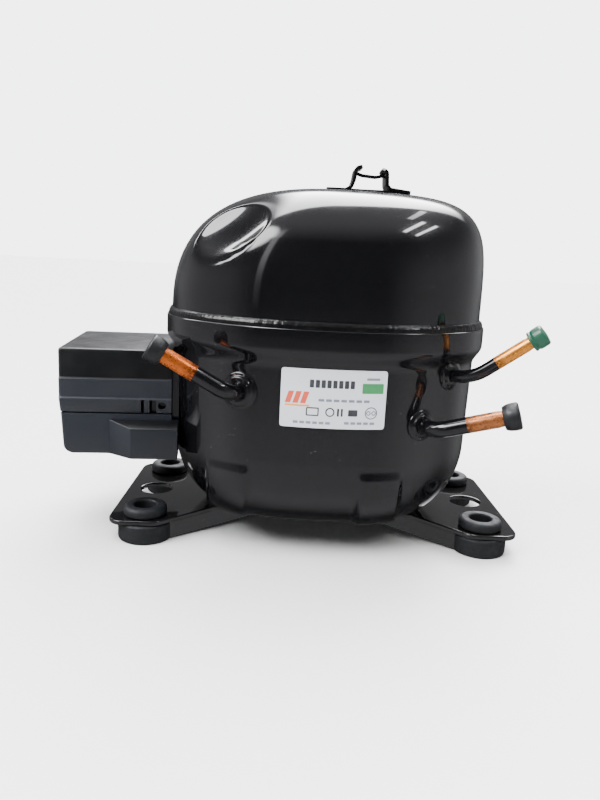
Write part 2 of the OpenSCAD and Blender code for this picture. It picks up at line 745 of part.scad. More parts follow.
module piston() {
  color("#a9adb4") translate([wrist_x + crown_h - piston_l, 0, cylinder_z]) rotate([0, 90, 0])
    difference() {
      cylinder(h = piston_l, r = bore_d / 2 - run_gap);
      translate([0, 0, -1]) cylinder(h = piston_l - 2.4, r = bore_d / 2 - piston_wall);
      translate([20, 0, piston_l - crown_h]) rotate([0, -90, 0]) cylinder(h = 40, r = wrist_r + 0.01);
    }
}
module wrist_pin() {
  color("#c9ccd1") translate([wrist_x, 0, cylinder_z - 11.5]) difference() {
    cylinder(h = 23, r = wrist_r);
    translate([0, 0, -1]) cylinder(h = 25, r = 2);
  }
}
// A square plate of the head's stack, drilled for the head bolts
module stack_plate(x, t) {
  difference() {
    translate([x, -head_w / 2, cylinder_z - head_w / 2]) cube([t, head_w, head_w]);
    head_bolt_holes(x - 1, t + 2);
  }
}
module valve_gasket() {
  color("#3b5b4a") difference() {
    stack_plate(deck_x, gasket_t);
    translate([deck_x - 1, 0, cylinder_z]) rotate([0, 90, 0]) cylinder(h = 3, r = bore_d / 2 + 0.3);
  }
}
reed_x = deck_x + gasket_t;
module suction_reed() {
  color("#b9bcc2") difference() {
    stack_plate(reed_x, reed_t);
    translate([reed_x - 1, 0, cylinder_z]) rotate([0, 90, 0]) difference() {
      cylinder(h = 3, r = 11);
      translate([-4, -2, 0]) cube([15, 9, 3]);
    }
  }
}
valve_plate_x = reed_x + reed_t;
module valve_plate() {
  color("#8d9097") difference() {
    stack_plate(valve_plate_x, valve_plate_t);
    for (y = [-5, 4]) translate([valve_plate_x - 1, y, cylinder_z]) rotate([0, 90, 0])
      cylinder(h = valve_plate_t + 2, r = 2.4);
  }
}
outer_x = valve_plate_x + valve_plate_t;
module discharge_reed() {
  color("#b9bcc2") translate([outer_x, -8.5, cylinder_z - 4]) cube([reed_t, 7, 18]);
}
module reed_stop() {
  color("#85888e") translate([outer_x + reed_t, -8.5, cylinder_z - 4]) difference() {
    cube([2, 7, 18]);
    translate([-1, -1, -1]) cube([1.8, 9, 12]);
  }
}
module head_gasket() {
  color("#3b5b4a") difference() {
    stack_plate(outer_x, gasket_t);
    head_chambers(outer_x - 1);
  }
}
module head_chambers(x) {
  for (s = [0, 1]) mirror([0, s, 0])
    translate([x, 1.2, cylinder_z - 16]) cube([7, 13, 32]);
}
module cylinder_head() {
  color("#777b82") difference() {
    stack_plate(outer_x + gasket_t, head_t);
    head_chambers(outer_x);
  }
}
module head_bolts() {
  head_x = outer_x + gasket_t + head_t;
  color("#9a9ca0") for (y = [-1, 1], z = [-1, 1])
    translate([deck_x - 12, y * head_bolt_d, cylinder_z + z * head_bolt_d]) rotate([0, 90, 0]) {
      cylinder(h = head_x - deck_x + 12.1, r = 2.5);
      translate([0, 0, head_x - deck_x + 12]) cylinder(h = 3, r = 4, $fn = 6);
    }
}
module suction_muffler() {
  box = [34, 20, 38];
  at = [8, 22, plate_top_z + 4];
  color("#d8d6cc") difference() {
    union() {
      translate(at) cube(box);
      translate([40, 30, cylinder_z + 14]) rotate([0, 90, 0]) cylinder(h = 22, r = 4);
      translate([60, 30, cylinder_z + 14]) rotate([90, 0, 0]) cylinder(h = 30 - head_w / 2, r = 4);
      translate([20, 32, cylinder_z + 27]) cylinder(h = 9, r = 5);
    }
    translate(at + [1.5, 1.5, 1.5]) cube(box - [3, 3, 3]);
    translate([20, 32, cylinder_z + 26]) cylinder(h = 20, r = 3.5);
  }
}
muffler_at = [-36, -27];
module discharge_muffler() {
  color("#6b6f76") translate([muffler_at[0], muffler_at[1], plate_top_z]) difference() {
    cylinder(h = 20, r = 12);
    translate([0, 0, 2]) cylinder(h = 15, r = 10);
  }
}
loop_normal = wall_normal(discharge[0]);
loop_end = wall_point(discharge[0], discharge[1]) - (tube_lead + 0.05) * loop_normal;
loop_route = [[-36, -40, 118], [-36, -44, 117], [-34, -47.5, 112], [-26, -51, 104], [-12, -54, 97],
  [6, -54, 93], [24, -52, 91], [36, -46, 90.5], [44, -37, 90], [50, -33, 90],
  loop_end - 4 * loop_normal, loop_end];
module discharge_loop() {
  color("#b5763a") swept(smooth(loop_route, 4), 2, 8, [0, 0, 1]);
}

// Suspension springs
module spring(sx, sy) {
  run = stator_z - spring_bottom_z - 2 * spring_wire_r;
  steps = spring_turns * spring_steps;
  path = [for (i = [0 : steps])
    let (a = 360 * i / spring_steps)
      [spring_r * cos(a), spring_r * sin(a), spring_bottom_z + spring_wire_r + run * i / steps]];
  color("#a3a6ac") translate([motor_x + sx * spring_dx, sy * spring_dy, 0])
    swept(path, spring_wire_r - 0.05, 6, [1, 0, 0]);
}
module spring_front_left() { spring(-1, -1); }
module spring_front_right() { spring(1, -1); }
module spring_rear_left() { spring(-1, 1); }
module spring_rear_right() { spring(1, 1); }
module at_springs() {
  for (x = [-1, 1], y = [-1, 1]) translate([motor_x + x * spring_dx, y * spring_dy, 0]) children();
}
module spring_seats() {
  color("#8d9096") at_springs() {
    translate([0, 0, seat_flange_z]) cylinder(h = spring_bottom_z - seat_flange_z, r = 8);
    translate([0, 0, spring_bottom_z - 0.1]) cylinder(h = 5, r = 5.4);
  }
  color("#8d9096") for (x = [-1, 1], y = [-1, 1])
    translate([motor_x + x * spring_dx, y * spring_dy, x > 0 ? post_right_z : post_left_z])
      cylinder(h = seat_flange_z - (x > 0 ? post_right_z : post_left_z) + 0.1, r = 5);
}
module spring_caps() {
  color("#d8d3c2") at_springs() difference() {
    translate([0, 0, stator_z - 6]) cylinder(h = 5.9, r = 5.5);
    translate([0, 0, stator_z - 4]) cylinder(h = 5, r = 4.55);
  }
}

upper_shell();
lower_shell();
weld_bead();
top_bracket();
foot_plate_left();
foot_plate_right();
grommet_front_left();
grommet_front_right();
grommet_rear_left();
grommet_rear_right();
rating_label();
process_collar();
discharge_collar();
suction_collar();
process_tube();
discharge_tube();
suction_tube();
process_plug();
discharge_plug();
suction_plug();
terminal_fence();
hermetic_terminal();
terminal_housing();
terminal_cover();
starter_relay();
overload_protector();
earth_screw();
inner_connector();
stator_core();
stator_windings();
stator_bolts();
motor_leads();
rotor_core();
rotor_cage();
crankshaft();
counterweight();
thrust_washer();
oil_pickup();
cylinder_block();
connecting_rod();
piston();
wrist_pin();
valve_gasket();
suction_reed();
valve_plate();
discharge_reed();
reed_stop();
head_gasket();
cylinder_head();
head_bolts();
suction_muffler();
discharge_muffler();
discharge_loop();
spring_front_left();
spring_front_right();
spring_rear_left();
spring_rear_right();
spring_seats();
spring_caps();
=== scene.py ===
"""Looks for the hermetic compressor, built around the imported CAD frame. Lengths are in mm until made()."""
import json
import math

import bmesh
import bpy
from mathutils import Matrix, Vector, noise


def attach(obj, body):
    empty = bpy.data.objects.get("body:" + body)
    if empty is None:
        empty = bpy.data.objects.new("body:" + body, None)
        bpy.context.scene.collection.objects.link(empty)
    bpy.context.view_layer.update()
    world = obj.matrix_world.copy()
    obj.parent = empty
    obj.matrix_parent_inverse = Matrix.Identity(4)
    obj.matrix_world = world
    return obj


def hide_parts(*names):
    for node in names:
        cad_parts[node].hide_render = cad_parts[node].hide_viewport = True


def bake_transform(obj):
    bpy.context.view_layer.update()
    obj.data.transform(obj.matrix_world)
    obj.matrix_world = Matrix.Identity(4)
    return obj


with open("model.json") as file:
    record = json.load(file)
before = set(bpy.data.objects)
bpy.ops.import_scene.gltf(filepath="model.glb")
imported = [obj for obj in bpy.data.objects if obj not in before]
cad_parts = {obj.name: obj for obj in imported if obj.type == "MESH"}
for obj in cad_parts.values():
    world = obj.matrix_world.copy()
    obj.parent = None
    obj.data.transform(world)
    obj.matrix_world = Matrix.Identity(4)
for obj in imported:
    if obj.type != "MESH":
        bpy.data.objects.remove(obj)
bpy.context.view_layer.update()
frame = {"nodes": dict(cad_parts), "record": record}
NODES = frame["nodes"]
MM = 0.001

# Casing: rings are inset from the rim's oval, and the wall flares out to the rim above FLARE_Z
CASING_X = 2.0
RIM_X = 81.8
RIM_Y = 66.0
OVAL_POWER = 2.15
BOTTOM_Z = 12.5
BOTTOM_POWER = 3.0
BODY_LOW_Z = 50.0
BODY_LOW_INSET = 4.8
BODY_INSET = 4.0
CORNER_X = 36.0
CORNER_Y = 28.0
CORNER_RISE = BODY_LOW_Z - BOTTOM_Z
FLARE_Z = 94.0
FLARE_RINGS = (60, 70, 80, 88, 92, 93.5, 94.6, 95.6, 96.6, 97.6, 98.6, 99.6, 100.6, 101.6, 102.4, 103.4,
               106, 109)
LEDGE_IN, LEDGE_LOW_Z = 2.6, 97.0
LIP_R = 0.9
BELL_Z = 103.0
SEAM_Z = 111.6
DOME_Z = 175.0
WALL = 2.5
WELD_GAP = 0.05
WALL_INSET = BODY_INSET + 0.4
WALL_HALF_X = RIM_X - WALL_INSET
WALL_HALF_Y = RIM_Y - WALL_INSET
CAP_LEFT, CAP_RIGHT, CAP_DEPTH = 2.55, 5.0, 3.4
FLAT_NORMAL = Vector((-0.55, -0.62, 0.56)).normalized()
FLAT_POINT = Vector((-44.0, -41.0, 152.3))
POCKET_DEPTH, POCKET_EDGE, POCKET_REACH = 0.9, 0.05, 9.0
ROUND = 480

# Pads in the wall over the four spring seats, about the motor's middle
MOTOR_X = -7.0
PAD_X, PAD_HALF, PAD_EDGE = 36.0, 8.3, 3.4
PAD_Y0, PAD_Y1 = 18.0, 30.0
PAD_TOP, PAD_TOP_EDGE = 41.5, 5.0
PAD_DEPTH, PAD_PROUD = 4.4, 0.7

# Weld bead: its section as (inset, height above the seam)
WELD_ROUND = 900
WELD_SECTION = ((0.75, 0.0), (0.95, 1.5), (1.6, 2.7), (2.3, 3.25), (2.55, 3.3), (2.55, 0.0))
WELD_RADII = (0.2, 0.6, 0.8, 0.4, 0, 0)
WELD_RIPPLE, WELD_RIPPLE_STEPS = 0.04, 5.0

# Lifting bracket: lines in XZ above its base
BRACKET_LIFT, BRACKET_W, BRACKET_T = 0.9, 15, 1.8
LEFT_EAR = ((-1, 0), (8.5, 0), (11.2, 1.6), (12.4, 5), (13.2, 10.5), (16.2, 11.6))
RIGHT_EAR = ((26.2, 10.6), (28.6, 9.5), (29, 3), (30.6, 1.2), (41, 0))
BRACKET_BASE = ((4, -0.1), (37, -0.1))
BRACKET_WIRE = ((13, 9.8), (17, 8.4), (24, 7.8), (28.8, 8.9))

# Mounting
PITCH_X, PITCH_Y = 170.0, 70.0
FOOT_TOP, FOOT_T = 12.0, 2.5
NECK_X0, NECK_X1, NECK_Y = 24, 50, 21
SEAT_HOLE_R, MID_HOLE_R, MID_HOLE_X, MID_HOLE_Y = 8.0, 8.5, 1.5, 2
SKIRT_FROM, SKIRT_TO, SKIRT_T = (31.5, 6.7), (72.4, 39.0), 2.2
SKIRT_LOWS = (2.4, 0.6)
SADDLE_X0, SADDLE_X1, SADDLE_Y = 26, 39, 16
GROMMET_BORE, GROMMET_R, GROMMET_HEAD_R, GROMMET_HEAD_H = 5.5, 13.5, 10.75, 5

# Tubes: place on the wall, height, free end, diameter, corner distance, bend radius, collar radius,
# length of bare copper
TUBES = {
    "process": (-38, 81, (-74.9, -68, 100.7), 7.5, 10, 9, 9.0, 20.75),
    "discharge": (60.5, 91, (94.7, -62, 113.2), 6.0, 12, 20, 7.5, 22.5),
    "suction": (47, 68, (83.9, -72, 78.8), 7.5, 11, 13, 7.5, 21.0),
}
COPPER = {"process": ("d8712a", "7c2f18", 0.75), "discharge": ("e0923c", "a8622a", 0.4),
          "suction": ("b8703f", "6d4632", 0.7)}
TUBE_T = 0.7
TUBE_ROUND = 32
TUBE_LEAD = 4.5
PLUG_GRIP = 5.0
PLUG_CAP = 2.5
TIP_L, TIP_STEP = 6.0, 0.2

# Terminal box
BOX_PLACE = Matrix.Translation((-76, 6.4, 0)) @ Matrix.Rotation(math.radians(6), 4, "Z")
BOX_W, BOX_L, BOX_T = 72.0, 55.6, 2.2
BOX_Z0, BOX_SPLIT, BOX_Z1 = 41.6, 62.8, 94.0
BOX_END = -0.9
BOX_SEAM = 0.6
RIDGE_LOW, RIDGE_HIGH, RIDGE_EDGE, RIDGE_STEP = 69.4, 79.0, 0.8, 0.8
CLAMP_OUT, CLAMP_DROP, CLAMP_FALL = 9, 3.3, 0.3
COVER_SLOTS = ((-15.9, -14.5), (-11.8, -8.5))
SCREW_HOLE_R = 1.9


# ---------------- shape helpers
def loft(rings, looped=False):
    """Points and faces of rings of equal length stacked in order, closed end to end or with flat ends."""
    n = len(rings[0])
    total = len(rings)
    points = [Vector(p) for ring in rings for p in ring]
    faces = []
    for r in range(total if looped else total - 1):
        a, b = r * n, (r + 1) % total * n
        faces += [(a + i, a + (i + 1) % n, b + (i + 1) % n, b + i) for i in range(n)]
    if not looped:
        faces.append(tuple(reversed(range(n))))
        faces.append(tuple(range((total - 1) * n, total * n)))
    return points, faces


def merged(*shapes):
    """Several shapes' points and faces as one shape."""
    points, faces = [], []
    for more_points, more_faces in shapes:
        base = len(points)
        points += more_points
        faces += [tuple(base + i for i in face) for face in more_faces]
    return points, faces


def placed(shape, place):
    return [place @ Vector(p) for p in shape[0]], shape[1]


def rounded(points, radius, closed=True, steps=5):
    """A polygon or open line with its corners turned into arcs; radius is one number, or one per corner."""
    out = []
    n = len(points)
    points = [Vector(p) for p in points]
    for i, p in enumerate(points):
        r = radius[i] if isinstance(radius, (list, tuple)) else radius
        if r == 0 or (not closed and i in (0, n - 1)):
            out.append(p)
            continue
        a, b = points[i - 1] - p, points[(i + 1) % n] - p
        share = 0.49 * min(a.length, b.length)
        a.normalize()
        b.normalize()
        half = a.angle(b) / 2
        if half > math.pi / 2 - 0.01:
            out.append(p)
            continue
        reach = min(r / math.tan(half), share)
        r = reach * math.tan(half)
        centre = p + (a + b).normalized() * r / math.sin(half)
        v0, v1 = p + a * reach - centre, p + b * reach - centre
        total = v0.angle(v1)
        for k in range(steps + 1):
            t = k / steps
            out.append(centre + (v0 * math.sin((1 - t) * total) + v1 * math.sin(t * total)) / math.sin(total))
    return out


def circle(r, count, x=0.0, y=0.0):
    return [Vector((x + r * math.cos(2 * math.pi * i / count), y + r * math.sin(2 * math.pi * i / count)))
            for i in range(count)]


def lathe(profile, looped=False, count=72):
    """A line of (radius, height) turned about Z; looped when it is a closed section with a bore."""
    return loft([[Vector((c.x * r, c.y * r, z)) for c in circle(1, count)] for r, z in profile], looped)


def prism(outline, z0, z1, soft=0.0):
    """An upright prism, its two end edges rounded by soft."""
    centre = sum((Vector(p) for p in outline), Vector((0, 0))) / len(outline)
    rings = []
    steps = 3 if soft else 0
    for k in range(steps + 1):
        a = math.pi / 2 * k / steps if steps else 0
        rings.append((soft * (1 - math.sin(a)), z0 + soft * (1 - math.cos(a))))
    rings += [(d, z1 + z0 - z) for d, z in reversed(rings)]
    out = []
    for d, z in rings:
        ring = []
        for p in outline:
            v = Vector(p) - centre
            ring.append(Vector((p[0], p[1], z)) - (v.normalized() * d).to_3d())
        out.append(ring)
    return loft(out)


def facing(origin, z, hint):
    """A frame at origin with its Z along z and its X as near hint as it can be."""
    z = Vector(z).normalized()
    x = (Vector(hint) - z * z.dot(Vector(hint))).normalized()
    y = z.cross(x)
    return Matrix.Translation(origin) @ Matrix((x, y, z)).transposed().to_4x4()


def resampled(path, step):
    out = [path[0]]
    for a, b in zip(path, path[1:]):
        pieces = max(1, round((b - a).length / step))
        out += [a.lerp(b, k / pieces) for k in range(1, pieces + 1)]
    return out


def sweep_rings(path, radii, count=TUBE_ROUND):
    """Circles of the given radii carried along a path without twist."""
    rings = []
    side = None
    for i, p in enumerate(path):
        t = (path[min(i + 1, len(path) - 1)] - path[max(i - 1, 0)]).normalized()
        side = t.orthogonal() if side is None else side
        side = (side - t * t.dot(side)).normalized()
        up = t.cross(side)
        rings.append([p + radii[i] * (side * c.x + up * c.y) for c in circle(1, count)])
    return rings


def linked(name, data):
    """A new object in the scene."""
    obj = bpy.data.objects.new(name, data)
    bpy.context.scene.collection.objects.link(obj)
    return obj


def mesh_of(name, shape):
    mesh = bpy.data.meshes.new(name)
    mesh.from_pydata([p * MM for p in shape[0]], [], shape[1])
    return mesh


def made(name, shape, looks, replaces=(), body="casing", face_slots=None, sharp=35):
    """One Blender piece from points in mm, shaded smooth but for edges sharper than sharp degrees."""
    mesh = mesh_of(name, shape)
    for look in looks:
        mesh.materials.append(look.material)
    if face_slots:
        mesh.polygons.foreach_set("material_index", face_slots)
    obj = linked(name, mesh)
    tidy_mesh(obj, sharp)
    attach(obj, body)
    if replaces:
        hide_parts(*replaces)
    return obj


def tidy_mesh(obj, sharp):
    """Join doubled points, turn the faces outwards and shade smooth between sharp edges."""
    bm = bmesh.new()
    bm.from_mesh(obj.data)
    bmesh.ops.remove_doubles(bm, verts=bm.verts, dist=0.002 * MM)
    bmesh.ops.dissolve_degenerate(bm, edges=bm.edges, dist=0.0005 * MM)
    bmesh.ops.recalc_face_normals(bm, faces=bm.faces)
    bm.to_mesh(obj.data)
    bm.free()
    obj.data.shade_smooth()
    obj.data.set_sharp_from_angle(angle=math.radians(sharp))


def applied(obj):
    """The object's mesh with its modifiers applied."""
    bpy.context.view_layer.update()
    graph = bpy.context.evaluated_depsgraph_get()
    mesh = bpy.data.meshes.new_from_object(obj.evaluated_get(graph), depsgraph=graph)
    obj.modifiers.clear()
    obj.data = mesh


def carved(obj, *cutters):
    """The object with each cutter's shape taken away."""
    for shape in cutters:
        cutter = linked("cutter", mesh_of("cutter", shape))
        tidy_mesh(cutter, 35)
        modifier = obj.modifiers.new("cut", "BOOLEAN")
        modifier.operation = "DIFFERENCE"
        modifier.solver = "EXACT"
        modifier.object = cutter
        applied(obj)
        bpy.data.objects.remove(cutter)
    return obj


def softened(obj, width, segments=3, sharp=35):
    """The object with its edges rounded by width (mm)."""
    modifier = obj.modifiers.new("edges", "BEVEL")
    modifier.width = width * MM
    modifier.segments = segments
    modifier.limit_method = "ANGLE"
    modifier.angle_limit = math.radians(30)
    modifier.use_clamp_overlap = True
    applied(obj)
    tidy_mesh(obj, sharp)
    return obj


def step_up(a, b, v):
    """A smooth step from 0 at a to 1 at b."""
    t = max(0.0, min(1.0, (v - a) / (b - a)))
    return t * t * (3 - 2 * t)


# ---------------- materials
class Look:
    """A Principled material with short calls for the nodes that shape it."""

    def __init__(self, name, colour, rough=0.4, metal=0.0, **sockets):
        self.material = bpy.data.materials.new(name)
        self.material.use_nodes = True
        self.tree = self.material.node_tree
        self.shader = self.tree.nodes["Principled BSDF"]
        self.shader.inputs["Base Color"].default_value = (*colour, 1)
        self.shader.inputs["Roughness"].default_value = rough
        self.shader.inputs["Metallic"].default_value = metal
        for key, value in sockets.items():
            self.shader.inputs[key.replace("_", " ")].default_value = value
        self.coords = self.node("ShaderNodeTexCoord").outputs["Object"]
        self.height = None

    def node(self, kind, **values):
        node = self.tree.nodes.new(kind)
        for key, value in values.items():
            setattr(node, key, value)
        return node

    def link(self, a, b):
        self.tree.links.new(a, b)

    def stretched(self, scale):
        node = self.node("ShaderNodeMapping")
        node.inputs["Scale"].default_value = scale
        self.link(self.coords, node.inputs["Vector"])
        return node.outputs["Vector"]

    def noise(self, size_mm, detail=3.0, stretch=(1, 1, 1), roughness=0.55):
        """Noise whose features are about size_mm across."""
        node = self.node("ShaderNodeTexNoise")
        node.inputs["Scale"].default_value = 1 / (size_mm * MM)
        node.inputs["Detail"].default_value = detail
        node.inputs["Roughness"].default_value = roughness
        self.link(self.stretched(stretch), node.inputs["Vector"])
        return node.outputs["Fac"]

    def specks(self, size_mm, share):
        """Sparse round spots, one in each cell of size_mm, with share of its radius filled."""
        node = self.node("ShaderNodeTexVoronoi")
        node.inputs["Scale"].default_value = 1 / (size_mm * MM)
        self.link(self.coords, node.inputs["Vector"])
        return self.ramp(node.outputs["Distance"], share, share * 0.6)

    def along(self, origin, direction, start, end):
        """0 to 1 as the place runs from start to end (mm) along a direction from origin."""
        shift = self.node("ShaderNodeVectorMath", operation="SUBTRACT")
        self.link(self.coords, shift.inputs[0])
        shift.inputs[1].default_value = Vector(origin) * MM
        dot = self.node("ShaderNodeVectorMath", operation="DOT_PRODUCT")
        self.link(shift.outputs[0], dot.inputs[0])
        dot.inputs[1].default_value = Vector(direction).normalized()
        return self.ramp(dot.outputs["Value"], start * MM, end * MM)

    def ramp(self, value, low, high, to_low=0.0, to_high=1.0):
        node = self.node("ShaderNodeMapRange")
        self.link(value, node.inputs["Value"])
        for key, number in (("From Min", low), ("From Max", high), ("To Min", to_low), ("To Max", to_high)):
            node.inputs[key].default_value = number
        return node.outputs["Result"]

    def carry(self, socket, target):
        """Feed the target with what feeds the socket, or give it the socket's value."""
        if socket.is_linked:
            self.link(socket.links[0].from_socket, target)
        else:
            target.default_value = socket.default_value

    def times(self, a, b):
        node = self.node("ShaderNodeMath", operation="MULTIPLY")
        self.link(a, node.inputs[0])
        if isinstance(b, float):
            node.inputs[1].default_value = b
        else:
            self.link(b, node.inputs[1])
        return node.outputs[0]

    def tint(self, mask, colour, amount=1.0):
        """Mix a colour over the base colour by a mask."""
        mix = self.node("ShaderNodeMix", data_type="RGBA")
        base = self.shader.inputs["Base Color"]
        self.carry(base, mix.inputs[6])
        mix.inputs[7].default_value = (*colour, 1)
        self.link(self.times(mask, float(amount)), mix.inputs[0])
        self.link(mix.outputs[2], base)
        return self

    def rough(self, mask, low, high):
        self.link(self.ramp(mask, 0.3, 0.7, low, high), self.shader.inputs["Roughness"])
        return self

    def rough_where(self, mask, value):
        """Raise or lower the roughness to value where the mask is 1."""
        rough = self.shader.inputs["Roughness"]
        mix = self.node("ShaderNodeMix", data_type="FLOAT")
        self.carry(rough, mix.inputs[2])
        mix.inputs[3].default_value = value
        self.link(mask, mix.inputs[0])
        self.link(mix.outputs[0], rough)
        return self

    def bump(self, value, depth_mm, coat=False):
        node = self.node("ShaderNodeBump")
        node.inputs["Distance"].default_value = depth_mm * MM
        self.link(value, node.inputs["Height"])
        if self.height:
            self.link(self.height, node.inputs["Normal"])
        self.height = node.outputs["Normal"]
        self.link(self.height, self.shader.inputs["Normal"])
        if coat:
            self.link(self.height, self.shader.inputs["Coat Normal"])
        return self


def srgb(code):
    """Linear colour of a hex code."""
    parts = [int(code[i:i + 2], 16) / 255 for i in (0, 2, 4)]
    return tuple(c / 12.92 if c <= 0.04045 else ((c + 0.055) / 1.055) ** 2.4 for c in parts)


def enamel(name, code, rough=0.16, dust=0.5, peel=0.02):
    """Black baked enamel: clear gloss over a dark base, faint orange peel, sparse dust."""
    look = Look(name, srgb(code), rough, Specular_IOR_Level=0.12, Coat_Weight=1.0, Coat_Roughness=0.03)
    look.tint(look.noise(38, 4), srgb("141418"), 0.35)
    look.rough(look.noise(22, 5), rough * 0.8, rough * 1.5)
    spots = look.times(look.specks(3.4, 0.06), look.ramp(look.noise(30, 2), 0.5, 0.62))
    look.tint(spots, srgb("9a9a94"), dust)
    look.rough_where(look.times(spots, dust), 0.7)
    look.bump(look.noise(2.4, 2), peel)
    return look


def moulded(name, code, worn):
    """Moulded plastic: fine spark texture, faint flow marks."""
    look = Look(name, srgb(code), 0.4)
    look.tint(look.noise(30, 3, (1, 1, 0.3)), srgb(worn), 0.5)
    look.rough(look.noise(9, 4), 0.34, 0.5)
    look.bump(look.noise(0.35, 2), 0.02)
    return look


def rubbery(name, code, worn, size, rough_size, rough, grain, depth):
    """Rubber: pale in patches of size, more or less dull in patches of rough_size, with a fine grain."""
    look = Look(name, srgb(code))
    look.tint(look.noise(size, 4), srgb(worn), 0.5)
    look.rough(look.noise(rough_size, 4), *rough)
    look.bump(look.noise(grain, 3), depth)
    return look


def machined(name, code, dark, rough=0.32, size=2.0, stretch=(1, 1, 1), depth=0.03, metal=1.0):
    """Bare metal with turning or rolling marks stretched one way."""
    look = Look(name, srgb(code), rough, metal)
    look.tint(look.noise(size * 6, 4), srgb(dark), 0.5)
    look.tint(look.noise(size, 3, stretch), srgb(dark), 0.35)
    look.rough(look.noise(size, 4, stretch), rough * 0.8, rough * 1.4)
    look.bump(look.noise(size * 0.5, 3, stretch), depth)
    return look


EVEN = (1, 1, 1)
MACHINED = {
    "terminal_steel": ("9a9da2", "5d5f64", 0.35),
    "brass_screw": ("c49a48", "8a6526", 0.28),
    "lamination_steel": ("8a8d93", "4c4e54", 0.38),
    "plain_steel": ("a2a4a9", "6c6e73", 0.3),
    "cage_aluminium": ("c6c9cd", "8f9297", 0.42, 3.0, EVEN, 0.06),
    "crank_iron": ("8e9197", "55575c", 0.25, 1.0, (1, 1, 6)),
    "block_iron": ("6f7278", "3d3f43", 0.55, 1.2, EVEN, 0.12, 0.8),
    "rod_aluminium": ("a9acb2", "6f7177", 0.4, 1.5, EVEN, 0.08),
    "piston_iron": ("aaadb3", "707378", 0.18, 0.8, (8, 1, 1)),
    "reed_steel": ("c4c7cc", "9396a0", 0.14, 1.0, (1, 6, 1), 0.01),
    "head_aluminium": ("9ea1a6", "66686d", 0.5, 1.5, EVEN, 0.1),
    "loop_copper": ("c4703a", "7c3c1c", 0.28, 3.0),
    "spring_steel": ("9d9fa4", "5f6166", 0.3, 1.0),
}
MOULDED = {
    "relay_plastic": ("1c1e22", "2a2c31"),
    "protector_shell": ("5a1f15", "6e3326"),
    "connector_plastic": ("d6d0be", "c2bba6"),
    "lead_insulation": ("d5cfbd", "b9b2a0"),
    "gasket_fibre": ("2f4a3c", "46604f"),
    "muffler_plastic": ("cfccc0", "b4b1a4"),
    "cap_plastic": ("d8d3c2", "bdb7a4"),
}


def inner_materials():
    """Finishes of the CAD nodes that keep their own shape, by material slot."""
    looks = {slot: machined(slot, *values) for slot, values in MACHINED.items()}
    looks.update({slot: moulded(slot, *values) for slot, values in MOULDED.items()})
    looks["fence_steel"] = enamel("fence_enamel", "121317", 0.3, 0.4)
    stack = looks["lamination_steel"]
    stack.bump(stack.noise(0.5, 1, (0.001, 0.001, 1)), 0.12)
    wire = Look("winding_copper", srgb("a8531f"), 0.35, 0.6, Coat_Weight=0.6)
    wire.tint(wire.noise(0.8, 2, (1, 1, 3)), srgb("5a220c"), 0.6)
    wire.bump(wire.noise(0.7, 1, (0.4, 0.4, 2.4)), 0.3)
    looks["winding_copper"] = wire
    return looks


def build_materials():
    """Finishes of the pieces made here."""
    looks = {}
    looks["casing"] = enamel("casing_enamel", "060607")
    looks["bracket"] = enamel("bracket_enamel", "070708", 0.3, 0.7)
    foot = enamel("foot_enamel", "08080a", 0.1, 0.6, 0.03)
    foot.tint(foot.noise(60, 2), srgb("1a1816"), 0.5)
    looks["foot"] = foot
    weld = Look("weld_enamel", srgb("070708"), 0.35, Specular_IOR_Level=0.15, Coat_Weight=0.4,
                Coat_Roughness=0.08)
    # pale flecks over the bead: painted glints
    weld.tint(weld.ramp(weld.noise(0.9, 4), 0.64, 0.74), srgb("8b887c"), 0.12)
    weld.bump(weld.noise(1.4, 2), 0.16, coat=True)
    looks["weld"] = weld
    looks["rubber"] = rubbery("grommet_rubber", "0c0e11", "181b1f", 5, 3, (0.5, 0.75), 0.5, 0.03)
    looks["plug"] = rubbery("plug_rubber", "0b0c0e", "1c1e21", 4, 2, (0.35, 0.6), 0.6, 0.02)
    looks["plastic"] = moulded("box_plastic", "181b22", "22252d")
    cover = moulded("cover_plastic", "1a1d23", "24272e")
    # the cover above its upper ridge, top face included, is tinted darker: painted shade
    cover.tint(cover.along((0, 0, 0), (0, 0, 1), RIDGE_HIGH + 0.1, RIDGE_HIGH + 0.6), srgb("08090b"))
    looks["cover"] = cover
    clamp = moulded("clamp_plastic", "16191f", "1f2229")
    ledge = BOX_PLACE @ Vector((0, -BOX_W / 2, BOX_SPLIT - CLAMP_DROP))
    over = BOX_PLACE.to_3x3() @ Vector((0, -CLAMP_FALL, 1))
    # the clamp's sloping top is tinted near black: painted shade
    clamp.tint(clamp.along(ledge, over, -0.4, -0.2), srgb("060709"))
    looks["clamp"] = clamp
    film = Look("label_film", srgb("c3c5ca"), 0.35, Coat_Weight=0.5, Coat_Roughness=0.12)
    film.tint(film.noise(14, 3), srgb("bcc0cc"), 0.5)
    film.bump(film.noise(9, 2), 0.02)
    looks["film"] = film
    for key, code in (("ink", "16181c"), ("ink_grey", "6a6e78"), ("ink_green", "057a36"),
                      ("ink_orange", "c83a06"), ("ink_yellow", "dd9412")):
        ink = Look(key, srgb(code), 0.4)
        ink.tint(ink.noise(0.8, 3), srgb("8c8f96"), 0.18)
        looks[key] = ink
    green = Look("plug_green", srgb("114a34"), 0.38, Coat_Weight=0.2)
    green.tint(green.noise(4, 4), srgb("0a3526"), 0.6)
    green.bump(green.noise(0.6, 3), 0.02)
    looks["plug_green"] = green
    return looks


LOOKS = build_materials()


# ---------------- casing
def oval(left, right, half_y, z, count=ROUND, shape=OVAL_POWER):
    """A ring on a superellipse about the casing's axis with separate left and right half widths."""
    power = 2 / shape
    ring = []
    for c in circle(1, count):
        half = right if c.x > 0 else left
        ring.append(Vector((CASING_X + half * math.copysign(abs(c.x) ** power, c.x),
                            half_y * math.copysign(abs(c.y) ** power, c.y), z)))
    return ring


